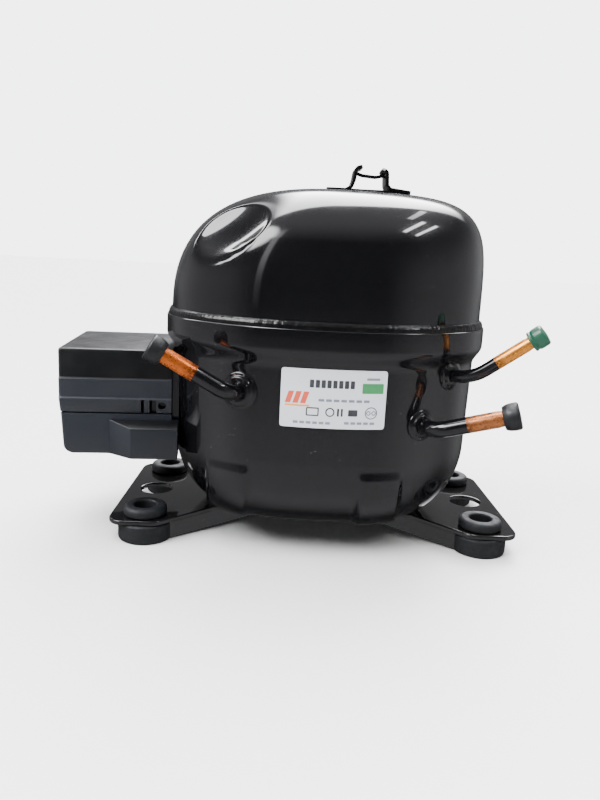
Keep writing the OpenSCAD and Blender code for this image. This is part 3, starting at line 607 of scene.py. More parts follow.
def inset_oval(d, z, count=ROUND):
    """The rim's oval drawn in by d, at height z."""
    return oval(RIM_X - d, RIM_X - d, RIM_Y - d, z, count)


def wall_at(x):
    """Y of the front wall at x."""
    return -WALL_HALF_Y * (1 - (abs(x - CASING_X) / WALL_HALF_X) ** OVAL_POWER) ** (1 / OVAL_POWER)


def wall_normal(x):
    """Outward direction of the front wall at x."""
    u, v = (x - CASING_X) / WALL_HALF_X, wall_at(x) / WALL_HALF_Y
    return Vector((math.copysign(abs(u) ** (OVAL_POWER - 1), u) / WALL_HALF_X,
                   -abs(v) ** (OVAL_POWER - 1) / WALL_HALF_Y, 0)).normalized()


def padded_ring(ring):
    """Push a ring near the casing's bottom out over the four pads, where the wall would curve in."""
    out = []
    for p in ring:
        across = abs(abs(p.x - MOTOR_X) - PAD_X)
        down = min(1.0, max(0.0, (BODY_LOW_Z - p.z) / CORNER_RISE))
        proud = PAD_PROUD + CORNER_Y * (1 - math.sqrt(1 - down * down))
        push = PAD_DEPTH * (1 - math.exp(-proud / PAD_DEPTH)) * step_up(PAD_Y0, PAD_Y1, abs(p.y))
        push *= 1 - step_up(PAD_HALF, PAD_HALF + PAD_EDGE, across)
        push *= 1 - step_up(PAD_TOP, PAD_TOP + PAD_TOP_EDGE, p.z)
        out.append(p + push * Vector(((p.x - CASING_X) / 2, p.y, 0)).normalized())
    return out


def corner_ring(t, a):
    """A ring at angle a of the bottom's rounded corner, t inside its outer face."""
    c, s = math.cos(a), math.sin(a)
    half = RIM_X - BODY_LOW_INSET - CORNER_X + (CORNER_X - t) * c
    depth = RIM_Y - BODY_LOW_INSET - CORNER_Y + (CORNER_Y - t) * c
    shape = OVAL_POWER + (BOTTOM_POWER - OVAL_POWER) * (1 - c)
    return padded_ring(oval(half, half, depth, BODY_LOW_Z + (CORNER_RISE - t) * s, shape=shape))


def body_inset(z):
    """How far the leaning wall stands in from the rim; it flares out to the rim at the top."""
    low = BODY_LOW_INSET + (BODY_INSET - BODY_LOW_INSET) * (z - BODY_LOW_Z) / (FLARE_Z - BODY_LOW_Z)
    return min(low, BODY_LOW_INSET) * (1 - step_up(FLARE_Z - 0.4, BELL_Z - 0.6, z))


def lower_shell():
    """The cup: a rounded bottom, its rings closest where the pads begin, and a bell mouth with a ledge."""
    angles = [math.radians(-90 + 3 * k) for k in range(25)] + [math.radians(-17 + k) for k in range(18)]
    outer = [corner_ring(0, a) for a in angles]
    outer += [inset_oval(body_inset(z), z) for z in FLARE_RINGS]
    for a in (30, 60, 90):
        t = math.radians(a)
        outer.append(inset_oval(LIP_R * (1 - math.cos(t)), SEAM_Z - LIP_R + LIP_R * math.sin(t)))
    inner = [inset_oval(WALL, SEAM_Z), inset_oval(WALL, BELL_Z), inset_oval(WALL + LEDGE_IN, BELL_Z - 0.1),
             inset_oval(BODY_INSET + WALL, LEDGE_LOW_Z)]
    inner += [corner_ring(WALL, a) for a in reversed(angles)]
    made("lower_casing", loft(outer + inner), [LOOKS["casing"]], ["lower_shell"])


def dome_half(u, power):
    """The dome's share of its half width at height share u."""
    return max(0.0, 1 - u ** power) ** (1 / power)


def dome_ring(t, u):
    """A ring of the dome at height share u, t inside its face, pressed in past the dished patch's plane."""
    d = WALL + WELD_GAP + t
    ring = oval((RIM_X - d) * dome_half(u, CAP_LEFT), (RIM_X - d) * dome_half(u, CAP_RIGHT),
                (RIM_Y - d) * dome_half(u, CAP_DEPTH), SEAM_Z + (DOME_Z - SEAM_Z - t) * u)
    out = []
    for p in ring:
        over = (p - FLAT_POINT).dot(FLAT_NORMAL) + t
        soft = (over + math.sqrt(over * over + POCKET_EDGE)) / 2 if over > -POCKET_REACH else 0
        out.append(p - (1 + POCKET_DEPTH) * soft * FLAT_NORMAL)
    return out


def upper_shell():
    """The dome, its rings closest over the dished patch, and the skirt inside the bell mouth."""
    # heights as shares of the dome's: even, then close over the dished patch, then even in radius
    heights = [0.06 * k for k in range(10)]
    heights += [math.sin(math.radians(16.2 + 57.6 * k / 76)) ** 0.4 for k in range(77)]
    heights += [(1 - (0.58 - 0.045 * k) ** 5) ** 0.2 for k in range(13)]
    skirt = [inset_oval(WALL + WELD_GAP, BELL_Z + 0.1), inset_oval(WALL + WELD_GAP, 107)]
    inner = [inset_oval(2 * WALL + WELD_GAP, BELL_Z + 0.1)]
    rings = skirt + [dome_ring(0, u) for u in heights]
    rings += [dome_ring(WALL, u) for u in reversed(heights)] + inner
    points, faces = loft(rings, looped=True)
    n = ROUND
    top = len(skirt) + len(heights) - 1
    faces = [f for f in faces if not (f[0] // n == top and f[2] // n == top + 1)]
    faces.append(tuple(top * n + i for i in range(n)))
    faces.append(tuple((top + 1) * n + i for i in range(n)))
    made("upper_casing", (points, faces), [LOOKS["casing"]], ["upper_shell"])


def weld_bead():
    """The bead in the rim's corner, with ripples along it and a slow wander; its hidden sides stay true."""
    section = rounded(WELD_SECTION, WELD_RADII, steps=2)
    rings = [inset_oval(d, SEAM_Z + h, WELD_ROUND) for d, h in section]
    bead = []
    for ring, (d, h) in zip(rings, section):
        out = []
        for i, p in enumerate(ring):
            lift = 0.0 if d > 2.5 or h < 0.1 else 1.0
            ripple = WELD_RIPPLE * math.sin(2 * math.pi * i / WELD_RIPPLE_STEPS)
            wander = 0.2 * noise.noise(p * 0.3) + 0.08 * noise.noise(p * 1.6)
            away = Vector((p.x - CASING_X, p.y, 0)).normalized()
            out.append(p + (away * (ripple + wander) + Vector((0, 0, 0.6 * wander * (h > 2)))) * lift)
        bead.append(out)
    made("weld_seam", loft(bead, looped=True), [LOOKS["weld"]], ["weld_bead"],
         sharp=60)


# ---------------- bracket, feet, grommets
def strip(path, width, thickness, y, bend=1.5, tip=0.0):
    """A pressed steel strip of constant thickness along a line in XZ; tip rounds its free corners."""
    line = [Vector((p.x, 0, p.y)) for p in rounded(path, bend, closed=False, steps=6)]
    line = resampled(line, 1.0)
    total = sum((b - a).length for a, b in zip(line, line[1:]))
    rings = []
    run = 0.0
    for i, p in enumerate(line):
        run += (p - line[i - 1]).length if i else 0
        left = min(run, total - run)
        narrow = tip * (1 - math.sqrt(max(0.0, 1 - (1 - left / tip) ** 2))) if tip and left < tip else 0
        t = (line[min(i + 1, len(line) - 1)] - line[max(i - 1, 0)]).normalized()
        up = Vector((-t.z, 0, t.x))
        half = width / 2 - narrow
        thick = thickness / 2
        section = rounded([(-half, -thick), (half, -thick), (half, thick), (-half, thick)], 0.45, steps=3)
        rings.append([p + Vector((0, y + q.x, 0)) + up * q.y for q in section])
    return loft(rings)


def top_bracket():
    """Two bent ears on a base strip, and a narrow bridge between the ears."""
    def raised(line):
        return [(x, DOME_Z + BRACKET_LIFT + z) for x, z in line]

    shapes = [
        strip(raised(LEFT_EAR), BRACKET_W, BRACKET_T, 0, 2.2, 1.2),
        strip(raised(RIGHT_EAR), BRACKET_W, BRACKET_T, 0, 2.2, 1.2),
        strip(raised(BRACKET_BASE), BRACKET_W - 0.4, BRACKET_T - 0.3, 0),
        strip(raised(BRACKET_WIRE), 3, 1.6, 5.4, 4),
    ]
    made("lifting_bracket", merged(*shapes), [LOOKS["bracket"]], ["top_bracket"])


def foot_outline():
    """The plate seen from above for the right foot: a neck under the casing and a wide outer pad."""
    out_x = PITCH_X / 2 + 17
    half_y = PITCH_Y / 2 + 12
    edge_x = PITCH_X / 2 - 7
    half = [(NECK_X0, -NECK_Y), (NECK_X1, -NECK_Y), (edge_x, -half_y), (out_x, -half_y)]
    points = half + [(x, -y) for x, y in reversed(half)]
    radii = [2, 9, 9, 8, 8, 9, 9, 2]
    return rounded(points, radii, steps=8)


def plate_with_holes(outline, holes, z0, z1, soft):
    """A flat plate as a filled, bevelled curve, turned into a closed mesh."""
    curve = bpy.data.curves.new("plate", "CURVE")
    curve.dimensions = "2D"
    curve.fill_mode = "BOTH"
    for ring in [outline] + holes:
        spline = curve.splines.new("POLY")
        spline.points.add(len(ring) - 1)
        for point, p in zip(spline.points, ring):
            point.co = (p[0], p[1], 0, 1)
        spline.use_cyclic_u = True
    curve.extrude = (z1 - z0) / 2 - soft
    curve.bevel_depth = soft
    curve.bevel_resolution = 3
    curve.offset = -soft
    obj = linked("plate", curve)
    bpy.context.view_layer.update()
    mesh = bpy.data.meshes.new_from_object(obj.evaluated_get(bpy.context.evaluated_depsgraph_get()))
    shift = Vector((0, 0, (z0 + z1) / 2))
    shape = ([v.co + shift for v in mesh.vertices], [tuple(p.vertices) for p in mesh.polygons])
    bpy.data.objects.remove(obj)
    return shape


def skirt(a, b, t, lows, top):
    """An upright wall of thickness t on the line from a to b, its lower edge sloping between two heights."""
    a, b = Vector(a), Vector(b)
    along = (b - a).normalized()
    side = Vector((-along.y, along.x)) * t
    points, faces = prism(rounded([a, b, b + side, a + side], 0.8, steps=3), 0, 1, 0.0)
    out = []
    for p in points:
        share = (p.to_2d() - a).dot(along) / (b - a).length
        low = lows[0] + (lows[1] - lows[0]) * share
        out.append(Vector((p.x, p.y, top if p.z > 0.5 else low)))
    return out, faces


def foot_plates():
    """Each foot: a plate with two grommet holes and a middle hole, two skirts, and a saddle."""
    x0, x1, y1 = SADDLE_X0, SADDLE_X1, SADDLE_Y
    for side, name in ((-1, "foot_plate_left"), (1, "foot_plate_right")):
        holes = [list(reversed(circle(SEAT_HOLE_R, 48, PITCH_X / 2, y * PITCH_Y / 2))) for y in (-1, 1)]
        holes.append(list(reversed(circle(MID_HOLE_R, 48, PITCH_X / 2 + MID_HOLE_X, MID_HOLE_Y))))
        shapes = [plate_with_holes(foot_outline(), holes, FOOT_TOP - FOOT_T, FOOT_TOP, 0.7)]
        for s in (-1, 1):
            ends = [(x, s * y) for x, y in (SKIRT_FROM, SKIRT_TO)]
            shapes.append(skirt(*ends, -s * SKIRT_T, SKIRT_LOWS, FOOT_TOP - 0.4))
        saddle = rounded([(x0, -y1), (x1, -y1), (x1, y1), (x0, y1)], 2)
        shapes.append(prism(saddle, FOOT_TOP - 0.5, BOTTOM_Z + 0.6))
        points, faces = merged(*shapes)
        points = [Vector((side * p.x, p.y, p.z)) for p in points]
        piece = made(name + "_pressing", (points, faces), [LOOKS["foot"]], [name])
        modifier = piece.modifiers.new("flats", "WEIGHTED_NORMAL")
        modifier.keep_sharp = True
        applied(piece)


def grommets():
    """A rubber ring in each outer hole: a wide foot below the plate, a groove in it and a head above."""
    under = FOOT_TOP - FOOT_T - 0.05
    over = FOOT_TOP + 0.05
    top = FOOT_TOP + GROMMET_HEAD_H
    r = GROMMET_R
    section = rounded([(GROMMET_BORE, 0), (r - 0.3, 0), (r, 1.5), (r, under - 0.85), (r - 0.7, under),
                       (SEAT_HOLE_R, under), (SEAT_HOLE_R, over), (GROMMET_HEAD_R, over),
                       (GROMMET_HEAD_R, top), (GROMMET_BORE, top)],
                      [0.6, 1.0, 1.0, 0.8, 0.8, 0.3, 0.3, 2.2, 2.2, 1.2], steps=5)
    shape = lathe(section, looped=True, count=72)
    for y, row in ((-1, "front"), (1, "rear")):
        for x, side in ((-1, "left"), (1, "right")):
            place = Matrix.Translation((x * PITCH_X / 2, y * PITCH_Y / 2, 0))
            made(f"mount_{row}_{side}", placed(shape, place), [LOOKS["rubber"]],
                 [f"grommet_{row}_{side}"])


# ---------------- tubes
def tube_look(name, code, mottle, amount, tip, direction, bare):
    """Bare copper, browned in patches and spotted with overspray where the paint ends."""
    look = Look(name, srgb(code), 0.24, 0.75)
    look.tint(look.noise(7, 5, roughness=0.65), srgb(mottle), amount)
    look.tint(look.specks(2.2, 0.22), srgb("3a1a10"), 0.5)
    edge = look.times(look.along(tip, -direction, bare - 5, bare), look.ramp(look.noise(1.1, 3), 0.4, 0.55))
    look.tint(edge, srgb("120b08"), 0.9)
    look.rough(look.noise(3, 5), 0.16, 0.4)
    look.bump(look.noise(1.6, 3, (1, 1, 1)), 0.03)
    return look


def tubes():
    """Each tube is painted from the wall to its bare copper end, which steps down where the plug grips it."""
    for name, (x, z, tip, d, corner, bend, ring_r, bare) in TUBES.items():
        start = Vector((x, wall_at(x), z))
        normal = wall_normal(x)
        bend_at = start + corner * normal
        tip = Vector(tip)
        direction = (tip - bend_at).normalized()
        path = rounded([start - TUBE_LEAD * normal, bend_at, tip], [0, bend, 0], closed=False, steps=18)
        tail = path[-2]
        joint = tip - bare * direction
        path = path[:-1] + [tail.lerp(joint, 0.5), joint]
        path += [tip - k * direction for k in (bare - 2, TIP_L + 1.5, TIP_L, TIP_L - 1, 2, 0.4, 0.15)]
        # the last 8 rings are bare copper, and the last 5 the narrower tip
        painted = len(path) - 8
        r = d / 2 - TIP_STEP
        radii = [d / 2] * (len(path) - 5) + [r, r, r, r - 0.05, r - 0.2]
        shape = tube_mesh(path, radii, d / 2 - TUBE_T)
        slots = [0 if f // TUBE_ROUND < painted else 1 for f in range(len(shape[1]))]
        code, mottle, amount = COPPER[name]
        bare_look = tube_look(f"{name}_copper", code, mottle, amount, tip, direction, bare)
        made(f"{name}_pipe", shape, [LOOKS["casing"], bare_look],
             [f"{name}_tube"], face_slots=slots)
        collar(name, facing(start, normal, direction), d / 2, ring_r)
        plug(name, facing(tip, direction, normal), d / 2)


def tube_mesh(path, radii, bore):
    """An open-ended tube: outer circles out along the path, then bore circles back."""
    outer = sweep_rings(path, radii)
    inner = sweep_rings(path, [bore] * len(path))
    return loft(outer + list(reversed(inner)), looped=True)


def collar(name, place, r, ring_r):
    """The raised ring where a tube of radius r leaves the wall."""
    section = rounded([(r - 0.02, -WALL), (ring_r - 1.2, -WALL), (ring_r, -0.6), (ring_r, 0.9),
                       (ring_r - 1.7, 1.35), (ring_r - 2.3, 2.3), (r + 1.0, 2.6), (r - 0.02, 2.3)],
                      [0, 0, 0.4, 0.9, 0.6, 0.8, 0.6, 0], steps=5)
    made(f"{name}_flange", placed(lathe(section, looped=True, count=96), place), [LOOKS["casing"]],
         [f"{name}_collar"])


def plug(name, place, r):
    """A transport cap over a tube's end, with a thin blind top."""
    inner = r - TIP_STEP + 0.03
    if name == "discharge":
        section = rounded([(inner, -PLUG_GRIP), (4.7, -PLUG_GRIP), (4.7, -4.0), (4.3, -3.6), (4.9, -2.6),
                           (4.9, 1.2), (3.9, PLUG_CAP)], [0.2, 0.4, 0.3, 0.3, 0.9, 1.2, 0.9], steps=4)
        look, slot = LOOKS["plug_green"], "plug_green"
    else:
        section = rounded([(inner, -PLUG_GRIP), (5.2, -PLUG_GRIP), (6.0, -2.9), (6.2, -1.2), (6.2, 1.4),
                           (5.2, PLUG_CAP)], [0.2, 0.6, 0.8, 0.5, 1.2, 1.0], steps=4)
        look, slot = LOOKS["plug"], "plug_rubber"
    cap = section + [Vector((2.0, PLUG_CAP - 0.25)), Vector((1.0, PLUG_CAP - 0.3))]
    bore = [Vector((0.8, -0.02)), Vector((inner, -0.02))]
    shape = lathe(bore + cap, count=64)
    made(f"{name}_cap", placed(shape, place), [look], [f"{name}_plug"], f"{name}_stopper")


# ---------------- terminal box
def box_outline(end, front, back, r=1.6):
    """The box seen from above in its own frame; only the two corners at the free end are rounded."""
    return rounded([(end, front), (BOX_END, front), (BOX_END, back), (end, back)], [r, 0.5, 0.5, r], steps=6)


def block(x0, x1, y0, y1, z0, z1):
    """A plain upright block."""
    return prism([(x0, y0), (x1, y0), (x1, y1), (x0, y1)], z0, z1)


def box_piece(name, shape, look, body, node, cutters, soft):
    """A piece of the box from a shape in the box's frame, hollowed by its cutters, with softened edges."""
    piece = made(name, placed(shape, BOX_PLACE), [look], [node], body)
    carved(piece, *[placed(cutter, BOX_PLACE) for cutter in cutters])
    return softened(piece, soft, 2)


def box_levels(levels):
    """The box's outline at each height, drawn in at its free end, front and back."""
    return [[p.to_3d() + Vector((0, 0, z))
             for p in box_outline(end - BOX_L, front - BOX_W / 2, BOX_W / 2 - back)]
            for z, end, front, back in levels]


def terminal_box():
    """The sliding cover with two ridges and three openings in front, the base, and the cord clamp's block."""
    w = BOX_W / 2
    end = -BOX_L
    z0 = BOX_SPLIT + 0.1
    low, high = RIDGE_LOW, RIDGE_HIGH
    first, second = RIDGE_STEP, RIDGE_STEP + 1.0
    cover = loft(box_levels([
        (z0, 0.7, 0, 0), (low, 0, 0, 0), (low + RIDGE_EDGE, 0, first, 0), (high, 0, first, 0),
        (high + RIDGE_EDGE, 0, second, 0), (BOX_Z1 - 1.4, 0, second, 0),
        (BOX_Z1 - 0.5, 0.3, second + 0.3, 0.3), (BOX_Z1, 1.0, second + 1.1, 1.0)]))
    slots = [block(x0, x1, -w - 1, 5 - w, z0 - 1, z0 + 6.3) for x0, x1 in COVER_SLOTS]
    hole = placed(lathe([(SCREW_HOLE_R, -1), (SCREW_HOLE_R, 6)], count=32),
                  Matrix.Translation((-5.7, -w, z0 + 3.6)) @ Matrix.Rotation(-math.pi / 2, 4, "X"))
    hollow = block(end + BOX_T + 1.2, 5, BOX_T + second - w, w - BOX_T, z0 - 1, BOX_Z1 - BOX_T)
    box_piece("terminal_box_cover", cover, LOOKS["cover"], "cover", "terminal_cover",
              [hollow] + slots + [hole], 0.25)

    depth = BOX_SPLIT - BOX_Z0
    levels = []
    for up, drop in ((0, 3.4), (0.35, 2.3), (1.1, 1.2), (2.2, 0.4), (3.6, 0), (depth - BOX_SEAM, 0)):
        taper = 0.9 + 1.2 * (depth - up) / depth
        levels.append((BOX_Z0 + up, taper + drop, 0.15 * drop, 0.15 * drop))
    base_hollow = block(end + BOX_T + 3.4, 5, BOX_T - w, w - BOX_T, BOX_Z0 + BOX_T, BOX_SPLIT + 1)
    box_piece("terminal_box_base", loft(box_levels(levels)), LOOKS["plastic"], "casing",
              "terminal_housing", [base_hollow], 0.25)
    out = -w - CLAMP_OUT
    top = BOX_SPLIT - CLAMP_DROP
    points, faces = prism([(-32.5, 1 - w), (-20, out), (2.5, out), (2.5, 1 - w)], BOX_Z0, top)
    for p in points:
        if p.z > top - 0.5:
            p.z += CLAMP_FALL * min(0.0, p.y + w)
    clamp = (points, faces)
    pocket = block(-16, 0, BOX_T + out, -w, BOX_Z0 + BOX_T, BOX_SPLIT - 6 - BOX_T)
    piece = made("cord_clamp_block", placed(clamp, BOX_PLACE), [LOOKS["clamp"]])
    carved(piece, placed(pocket, BOX_PLACE))
    softened(piece, 0.35, 3)


# ---------------- label
LABEL_X0, LABEL_X1 = -19.0, 28.5
LABEL_Z0, LABEL_Z1 = 67.0, 94.0
LABEL_LIFT = 0.45


def on_wall(shape, low, high):
    """A flat shape drawn from the label's lower left corner, cut every 1.5 mm, bent onto the wall and
    given a thickness from low to high above the film's back."""
    bm = bmesh.new()
    points = [bm.verts.new((LABEL_X0 + p[0], 0, LABEL_Z0 + p[1])) for p in shape[0]]
    for face in shape[1]:
        bm.faces.new([points[i] for i in face])
    for k in range(1, 32):
        geometry = bm.verts[:] + bm.edges[:] + bm.faces[:]
        bmesh.ops.bisect_plane(bm, geom=geometry, plane_co=(LABEL_X0 + 1.5 * k, 0, 0), plane_no=(1, 0, 0))
    flat = bm.faces[:]
    extruded = bmesh.ops.extrude_face_region(bm, geom=flat, use_keep_orig=True)["geom"]
    top = {v for v in extruded if isinstance(v, bmesh.types.BMVert)}
    for v in bm.verts:
        x = v.co.x
        lift = LABEL_LIFT + (high if v in top else low)
        v.co = Vector((x, wall_at(x), v.co.z)) + lift * wall_normal(x)
    bm.verts.index_update()
    out = [v.co.copy() for v in bm.verts], [tuple(v.index for v in f.verts) for f in bm.faces]
    bm.free()
    return out


def patch(outline):
    """One flat face."""
    return [Vector(p) for p in outline], [tuple(range(len(outline)))]


def bar(x, z, w, h, r=0.3):
    """A flat bar with rounded corners."""
    return patch(rounded([(x, z), (x + w, z), (x + w, z + h), (x, z + h)], r, steps=3))


def frame_shape(outer, inner):
    """A flat band between two outlines of as many points."""
    n = len(outer)
    faces = [(i, (i + 1) % n, n + (i + 1) % n, n + i) for i in range(n)]
    return [Vector(p) for p in outer + inner], faces


def bars(x, z, w, h, r, step, count):
    """A row of equal bars."""
    return [bar(x + step * k, z, w, h, r) for k in range(count)]


def ring_mark(x, z, outer, inner, count):
    return frame_shape(circle(outer, count, x, z), circle(inner, count, x, z))


def label():
    """The film and its plain marks: bars, fields and outlines in places from its lower left corner."""
    made("rating_film", on_wall(bar(0, 0, LABEL_X1 - LABEL_X0, LABEL_Z1 - LABEL_Z0, 1.3), 0, 0.2),
         [LOOKS["film"]], ["rating_label"])
    x, z = 41, 7.6
    box = []
    for d, r in ((0, 0.5), (0.6, 0.3)):
        x0, x1, z0, z1 = 11.6 + d, 17.4 - d, 5.6 + d, 9.6 - d
        box.append(rounded([(x0, z0), (x1, z0), (x1, z1), (x0, z1)], r, steps=3))
    inks = {
        "ink": bars(12.8, 18.6, 1.9, 3.6, 0.3, 2.6, 8) + [ring_mark(x, z, 2.8, 2.4, 40)]
        + [ring_mark(x + 1.2 * c.x, z + 1.2 * c.y, 1.0, 0.65, 24) for c in circle(1, 2)]
        + [bar(30.6, 6.0, 4.2, 3.0, 0.3), frame_shape(*box), ring_mark(22.4, z, 2.1, 1.5, 36)]
        + bars(25.6, 5.8, 0.9, 3.6, 0.2, 1.7, 2),
        "ink_grey": [bar(38.2, 22.6, 6, 1.1)] + bars(17, 12.4, 2.6, 1.2, 0.2, 3.4, 7)
        + bars(6, 1.9, 2.2, 1.2, 0.2, 2.9, 6) + bars(29, 2.2, 2.2, 1.2, 0.2, 2.9, 5),
        "ink_green": [bar(36.4, 16.6, 9.6, 4.6, 0.4)],
        "ink_orange": [patch([(x0, 11.2), (x0 + 2.4, 11.2), (x0 + 4.0, 16.6), (x0 + 1.6, 16.6)])
                       for x0 in (2.0, 5.4, 8.8)],
        "ink_yellow": [bar(2.0, 9.8, 11, 0.8, 0.2)],
    }
    for key, shapes in inks.items():
        made(f"label_{key}", on_wall(merged(*shapes), 0.17, 0.24), [LOOKS[key]])


# ---------------- CAD nodes that stay
def finish_nodes():
    """Give each CAD node that keeps its shape the material of its slot."""
    looks = inner_materials()
    for part in frame["record"]["subparts"]:
        look = looks.get(part["material_slot"])
        if look:
            mesh = NODES[part["node"]].data
            mesh.materials.clear()
            mesh.materials.append(look.material)
            mesh.shade_smooth()
            mesh.set_sharp_from_angle(angle=math.radians(32))


def flexing_nodes():
    """The springs, loop and leads between the casing and the floating pump, each copied as a plain piece in
    place of its CAD node.
    """
    float_joint = next(j for j in frame["record"]["behaviour"]["joints"] if j["name"] == "pump_float")
    for entry in float_joint["deforming_nodes"]:
        node = entry["node"]
        piece = linked(node + "_flexing", NODES[node].data.copy())
        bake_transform(piece)
        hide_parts(node)


# ---------------- camera, light, floor
CAMERA_PLACE = Vector((-16.23, -358.63, 143.62))
CAMERA_TURN = (1.15, 12.17, 2.82)
CAMERA_LENS, CAMERA_SENSOR = 30.49, 36


def camera():
    """The camera solved from the photograph: place in mm, yaw, pitch and roll in degrees."""
    yaw, pitch, roll = (math.radians(a) for a in CAMERA_TURN)
    forward = Vector((math.sin(yaw) * math.cos(pitch), math.cos(yaw) * math.cos(pitch), -math.sin(pitch)))
    right = Vector((math.cos(yaw), -math.sin(yaw), 0))
    up = right.cross(forward)
    x = right * math.cos(roll) + up * math.sin(roll)
    y = -right * math.sin(roll) + up * math.cos(roll)
    data = bpy.data.cameras.new("camera")
    data.lens = CAMERA_LENS
    data.sensor_width = CAMERA_SENSOR
    data.clip_start = 0.01
    obj = linked("camera", data)
    place = Matrix((x, y, -forward)).transposed().to_4x4()
    obj.matrix_world = Matrix.Translation(CAMERA_PLACE * MM) @ place
    bpy.context.scene.camera = obj


LEFT, RIGHT, NEAR, AWAY, DOWN, UP = (-1, 0, 0), (1, 0, 0), (0, -1, 0), (0, 1, 0), (0, 0, -1), (0, 0, 1)
SHOULDER_WAY = (-0.63, -0.38, 0.67)
WINDOW_ACROSS = (-0.75, 0.66, 0)
LAMP_TUBES = ((0.54, 0.18, 9.0), (0.72, -0.2, 26.0), (0.97, -0.18, 26.0))
ROOM_COLOUR, BACKDROP_COLOUR, BACKDROP = (0.97, 0.97, 1.0, 1), (0.97, 0.98, 1.0, 1), 5.0
PANEL, PANEL_SIZE, PANEL_WAY = 4.0, 40, (0.1, 0.28, -0.95)
FLOOR_HALF = 6


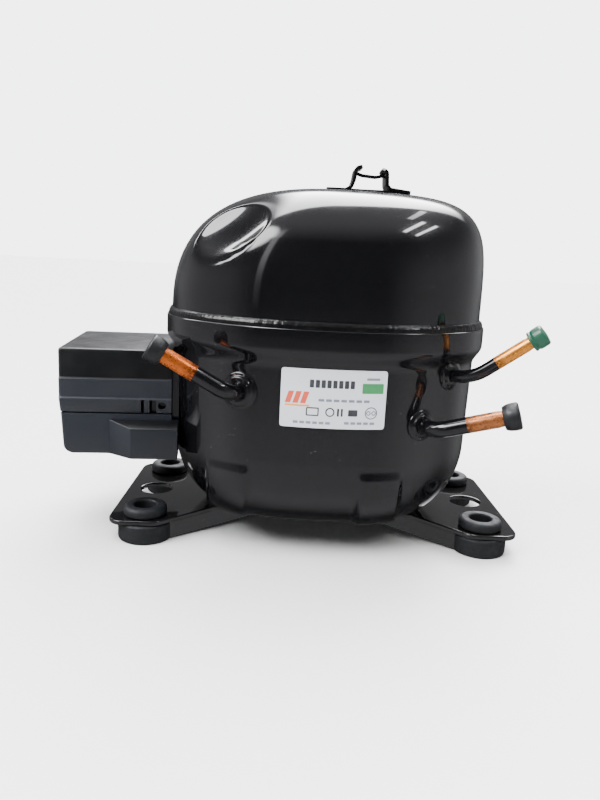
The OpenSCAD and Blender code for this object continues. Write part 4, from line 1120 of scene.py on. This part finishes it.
def studio():
    """A world of soft panels, each placed by the direction in which the glossy enamel mirrors it, one sun
    for the floor, and the floor."""
    world = bpy.data.worlds.new("studio")
    bpy.context.scene.world = world
    world.use_nodes = True
    tree = world.node_tree
    tree.nodes.clear()

    def node(kind, **values):
        made_node = tree.nodes.new(kind)
        for key, value in values.items():
            setattr(made_node, key, value)
        return made_node

    coords = node("ShaderNodeTexCoord")

    def toward(direction, low, high, to_low=0.0, to_high=1.0):
        """A smooth step in how far a world direction points along the given one."""
        dot = node("ShaderNodeVectorMath", operation="DOT_PRODUCT")
        tree.links.new(coords.outputs["Generated"], dot.inputs[0])
        dot.inputs[1].default_value = direction
        ramp = node("ShaderNodeMapRange", interpolation_type="SMOOTHSTEP")
        tree.links.new(dot.outputs["Value"], ramp.inputs["Value"])
        for key, number in (("From Min", low), ("From Max", high), ("To Min", to_low), ("To Max", to_high)):
            ramp.inputs[key].default_value = number
        return ramp.outputs["Result"]

    def combine(operation, values):
        total = values[0]
        for value in values[1:]:
            math_node = node("ShaderNodeMath", operation=operation)
            tree.links.new(total, math_node.inputs[0])
            tree.links.new(value, math_node.inputs[1])
            total = math_node.outputs[0]
        return total

    def both(*values):
        return combine("MULTIPLY", values)

    def added(*values):
        return combine("ADD", values)

    def band(direction, centre, half, soft):
        """1 where the world direction lies within half of centre along the given one."""
        back = tuple(-c for c in direction)
        return both(toward(direction, centre - half - soft, centre - half),
                    toward(back, -centre - half - soft, -centre - half))

    total = added(
        # the white panel mirrored along the dome's top
        both(toward((-0.6, 1, 0), 0.16, 0.23, 0, 20.0), toward((1, -0.38, 0), -0.48, -0.34),
             toward(UP, 0.46, 0.56), toward(RIGHT, 0.3, 0.62, 1, 0.12)),
        # a faint wall behind, and one on each side
        both(toward(AWAY, 0.4, 0.8, 0, 0.16), toward(UP, -0.1, 0.05)),
        both(added(toward(LEFT, 0.6, 0.95, 0, 0.42), toward(RIGHT, 0.45, 0.9, 0, 0.42)),
             toward(UP, -0.55, -0.15), toward(UP, 0.1, 0.5, 1, 0.35)),
        # the grey field and the two bright lines in the dished patch
        both(toward(LEFT, 0.26, 0.36), toward(LEFT, 0.56, 0.48), toward(UP, 0.55, 0.75),
             toward(AWAY, -0.1, 0.05, 0, 3.2)),
        both(band(AWAY, -0.09, 0.07, 0.03), toward(LEFT, 0.53, 0.57), toward(UP, 0.4, 0.46, 0, 20.0)),
        both(band(AWAY, 0.58, 0.025, 0.025), toward(LEFT, 0.44, 0.5), toward(UP, 0.36, 0.42, 0, 14.0)),
        # light from above, and the glint beside the dished patch
        toward(UP, 0.55, 0.95, 0, 0.8),
        both(toward(SHOULDER_WAY, 0.965, 0.985, 0, 22.0), toward(AWAY, -0.1, -0.2)),
        # three lamp tubes, each by its lean, its middle and its strength
        added(*[both(band((1, 0, -lean), 0.0, 0.022, 0.01), band(AWAY, middle, 0.17, 0.05),
                     toward(UP, 0.3, 0.4, 0, power)) for lean, middle, power in LAMP_TUBES]),
        # a tall narrow window to the front left
        both(band(WINDOW_ACROSS, -0.022, 0.022, 0.03), toward(NEAR, 0.1, 0.3), toward(UP, 0.0, 0.5, 0.3, 3.0),
             toward(UP, -0.06, 0.0), toward(UP, 0.82, 0.7)),
        # the pale floor as the enamel mirrors it, and a dim room everywhere
        both(toward(DOWN, 0.0, 0.42, 0, 0.66), toward(NEAR, -0.25, 0.4)),
        toward(UP, 0.0, 1.0, 0.05, 0.035))
    light = node("ShaderNodeBackground")
    light.inputs["Color"].default_value = ROOM_COLOUR
    tree.links.new(total, light.inputs["Strength"])
    seen = node("ShaderNodeBackground")
    seen.inputs["Color"].default_value = BACKDROP_COLOUR
    seen.inputs["Strength"].default_value = BACKDROP
    path = node("ShaderNodeLightPath")
    mix = node("ShaderNodeMixShader")
    tree.links.new(path.outputs["Is Camera Ray"], mix.inputs[0])
    tree.links.new(light.outputs[0], mix.inputs[1])
    tree.links.new(seen.outputs[0], mix.inputs[2])
    out = node("ShaderNodeOutputWorld")
    tree.links.new(mix.outputs[0], out.inputs["Surface"])

    floor_look = Look("floor", srgb("efefed"), 0.55)
    mesh = bpy.data.meshes.new("floor")
    bm = bmesh.new()
    bmesh.ops.create_grid(bm, x_segments=4, y_segments=4, size=FLOOR_HALF)
    bm.to_mesh(mesh)
    bm.free()
    mesh.materials.append(floor_look.material)
    floor = linked("floor", mesh)
    floor.visible_glossy = False
    sun = bpy.data.lights.new("sky_panel", "SUN")
    sun.energy = PANEL
    sun.angle = math.radians(PANEL_SIZE)
    lamp = linked("sky_panel", sun)
    lamp.matrix_world = Vector(PANEL_WAY).to_track_quat("-Z", "Y").to_matrix().to_4x4()
    lamp.visible_glossy = False


# ---------------- build
lower_shell()
upper_shell()
weld_bead()
top_bracket()
foot_plates()
grommets()
tubes()
terminal_box()
label()
finish_nodes()
flexing_nodes()
camera()
studio()
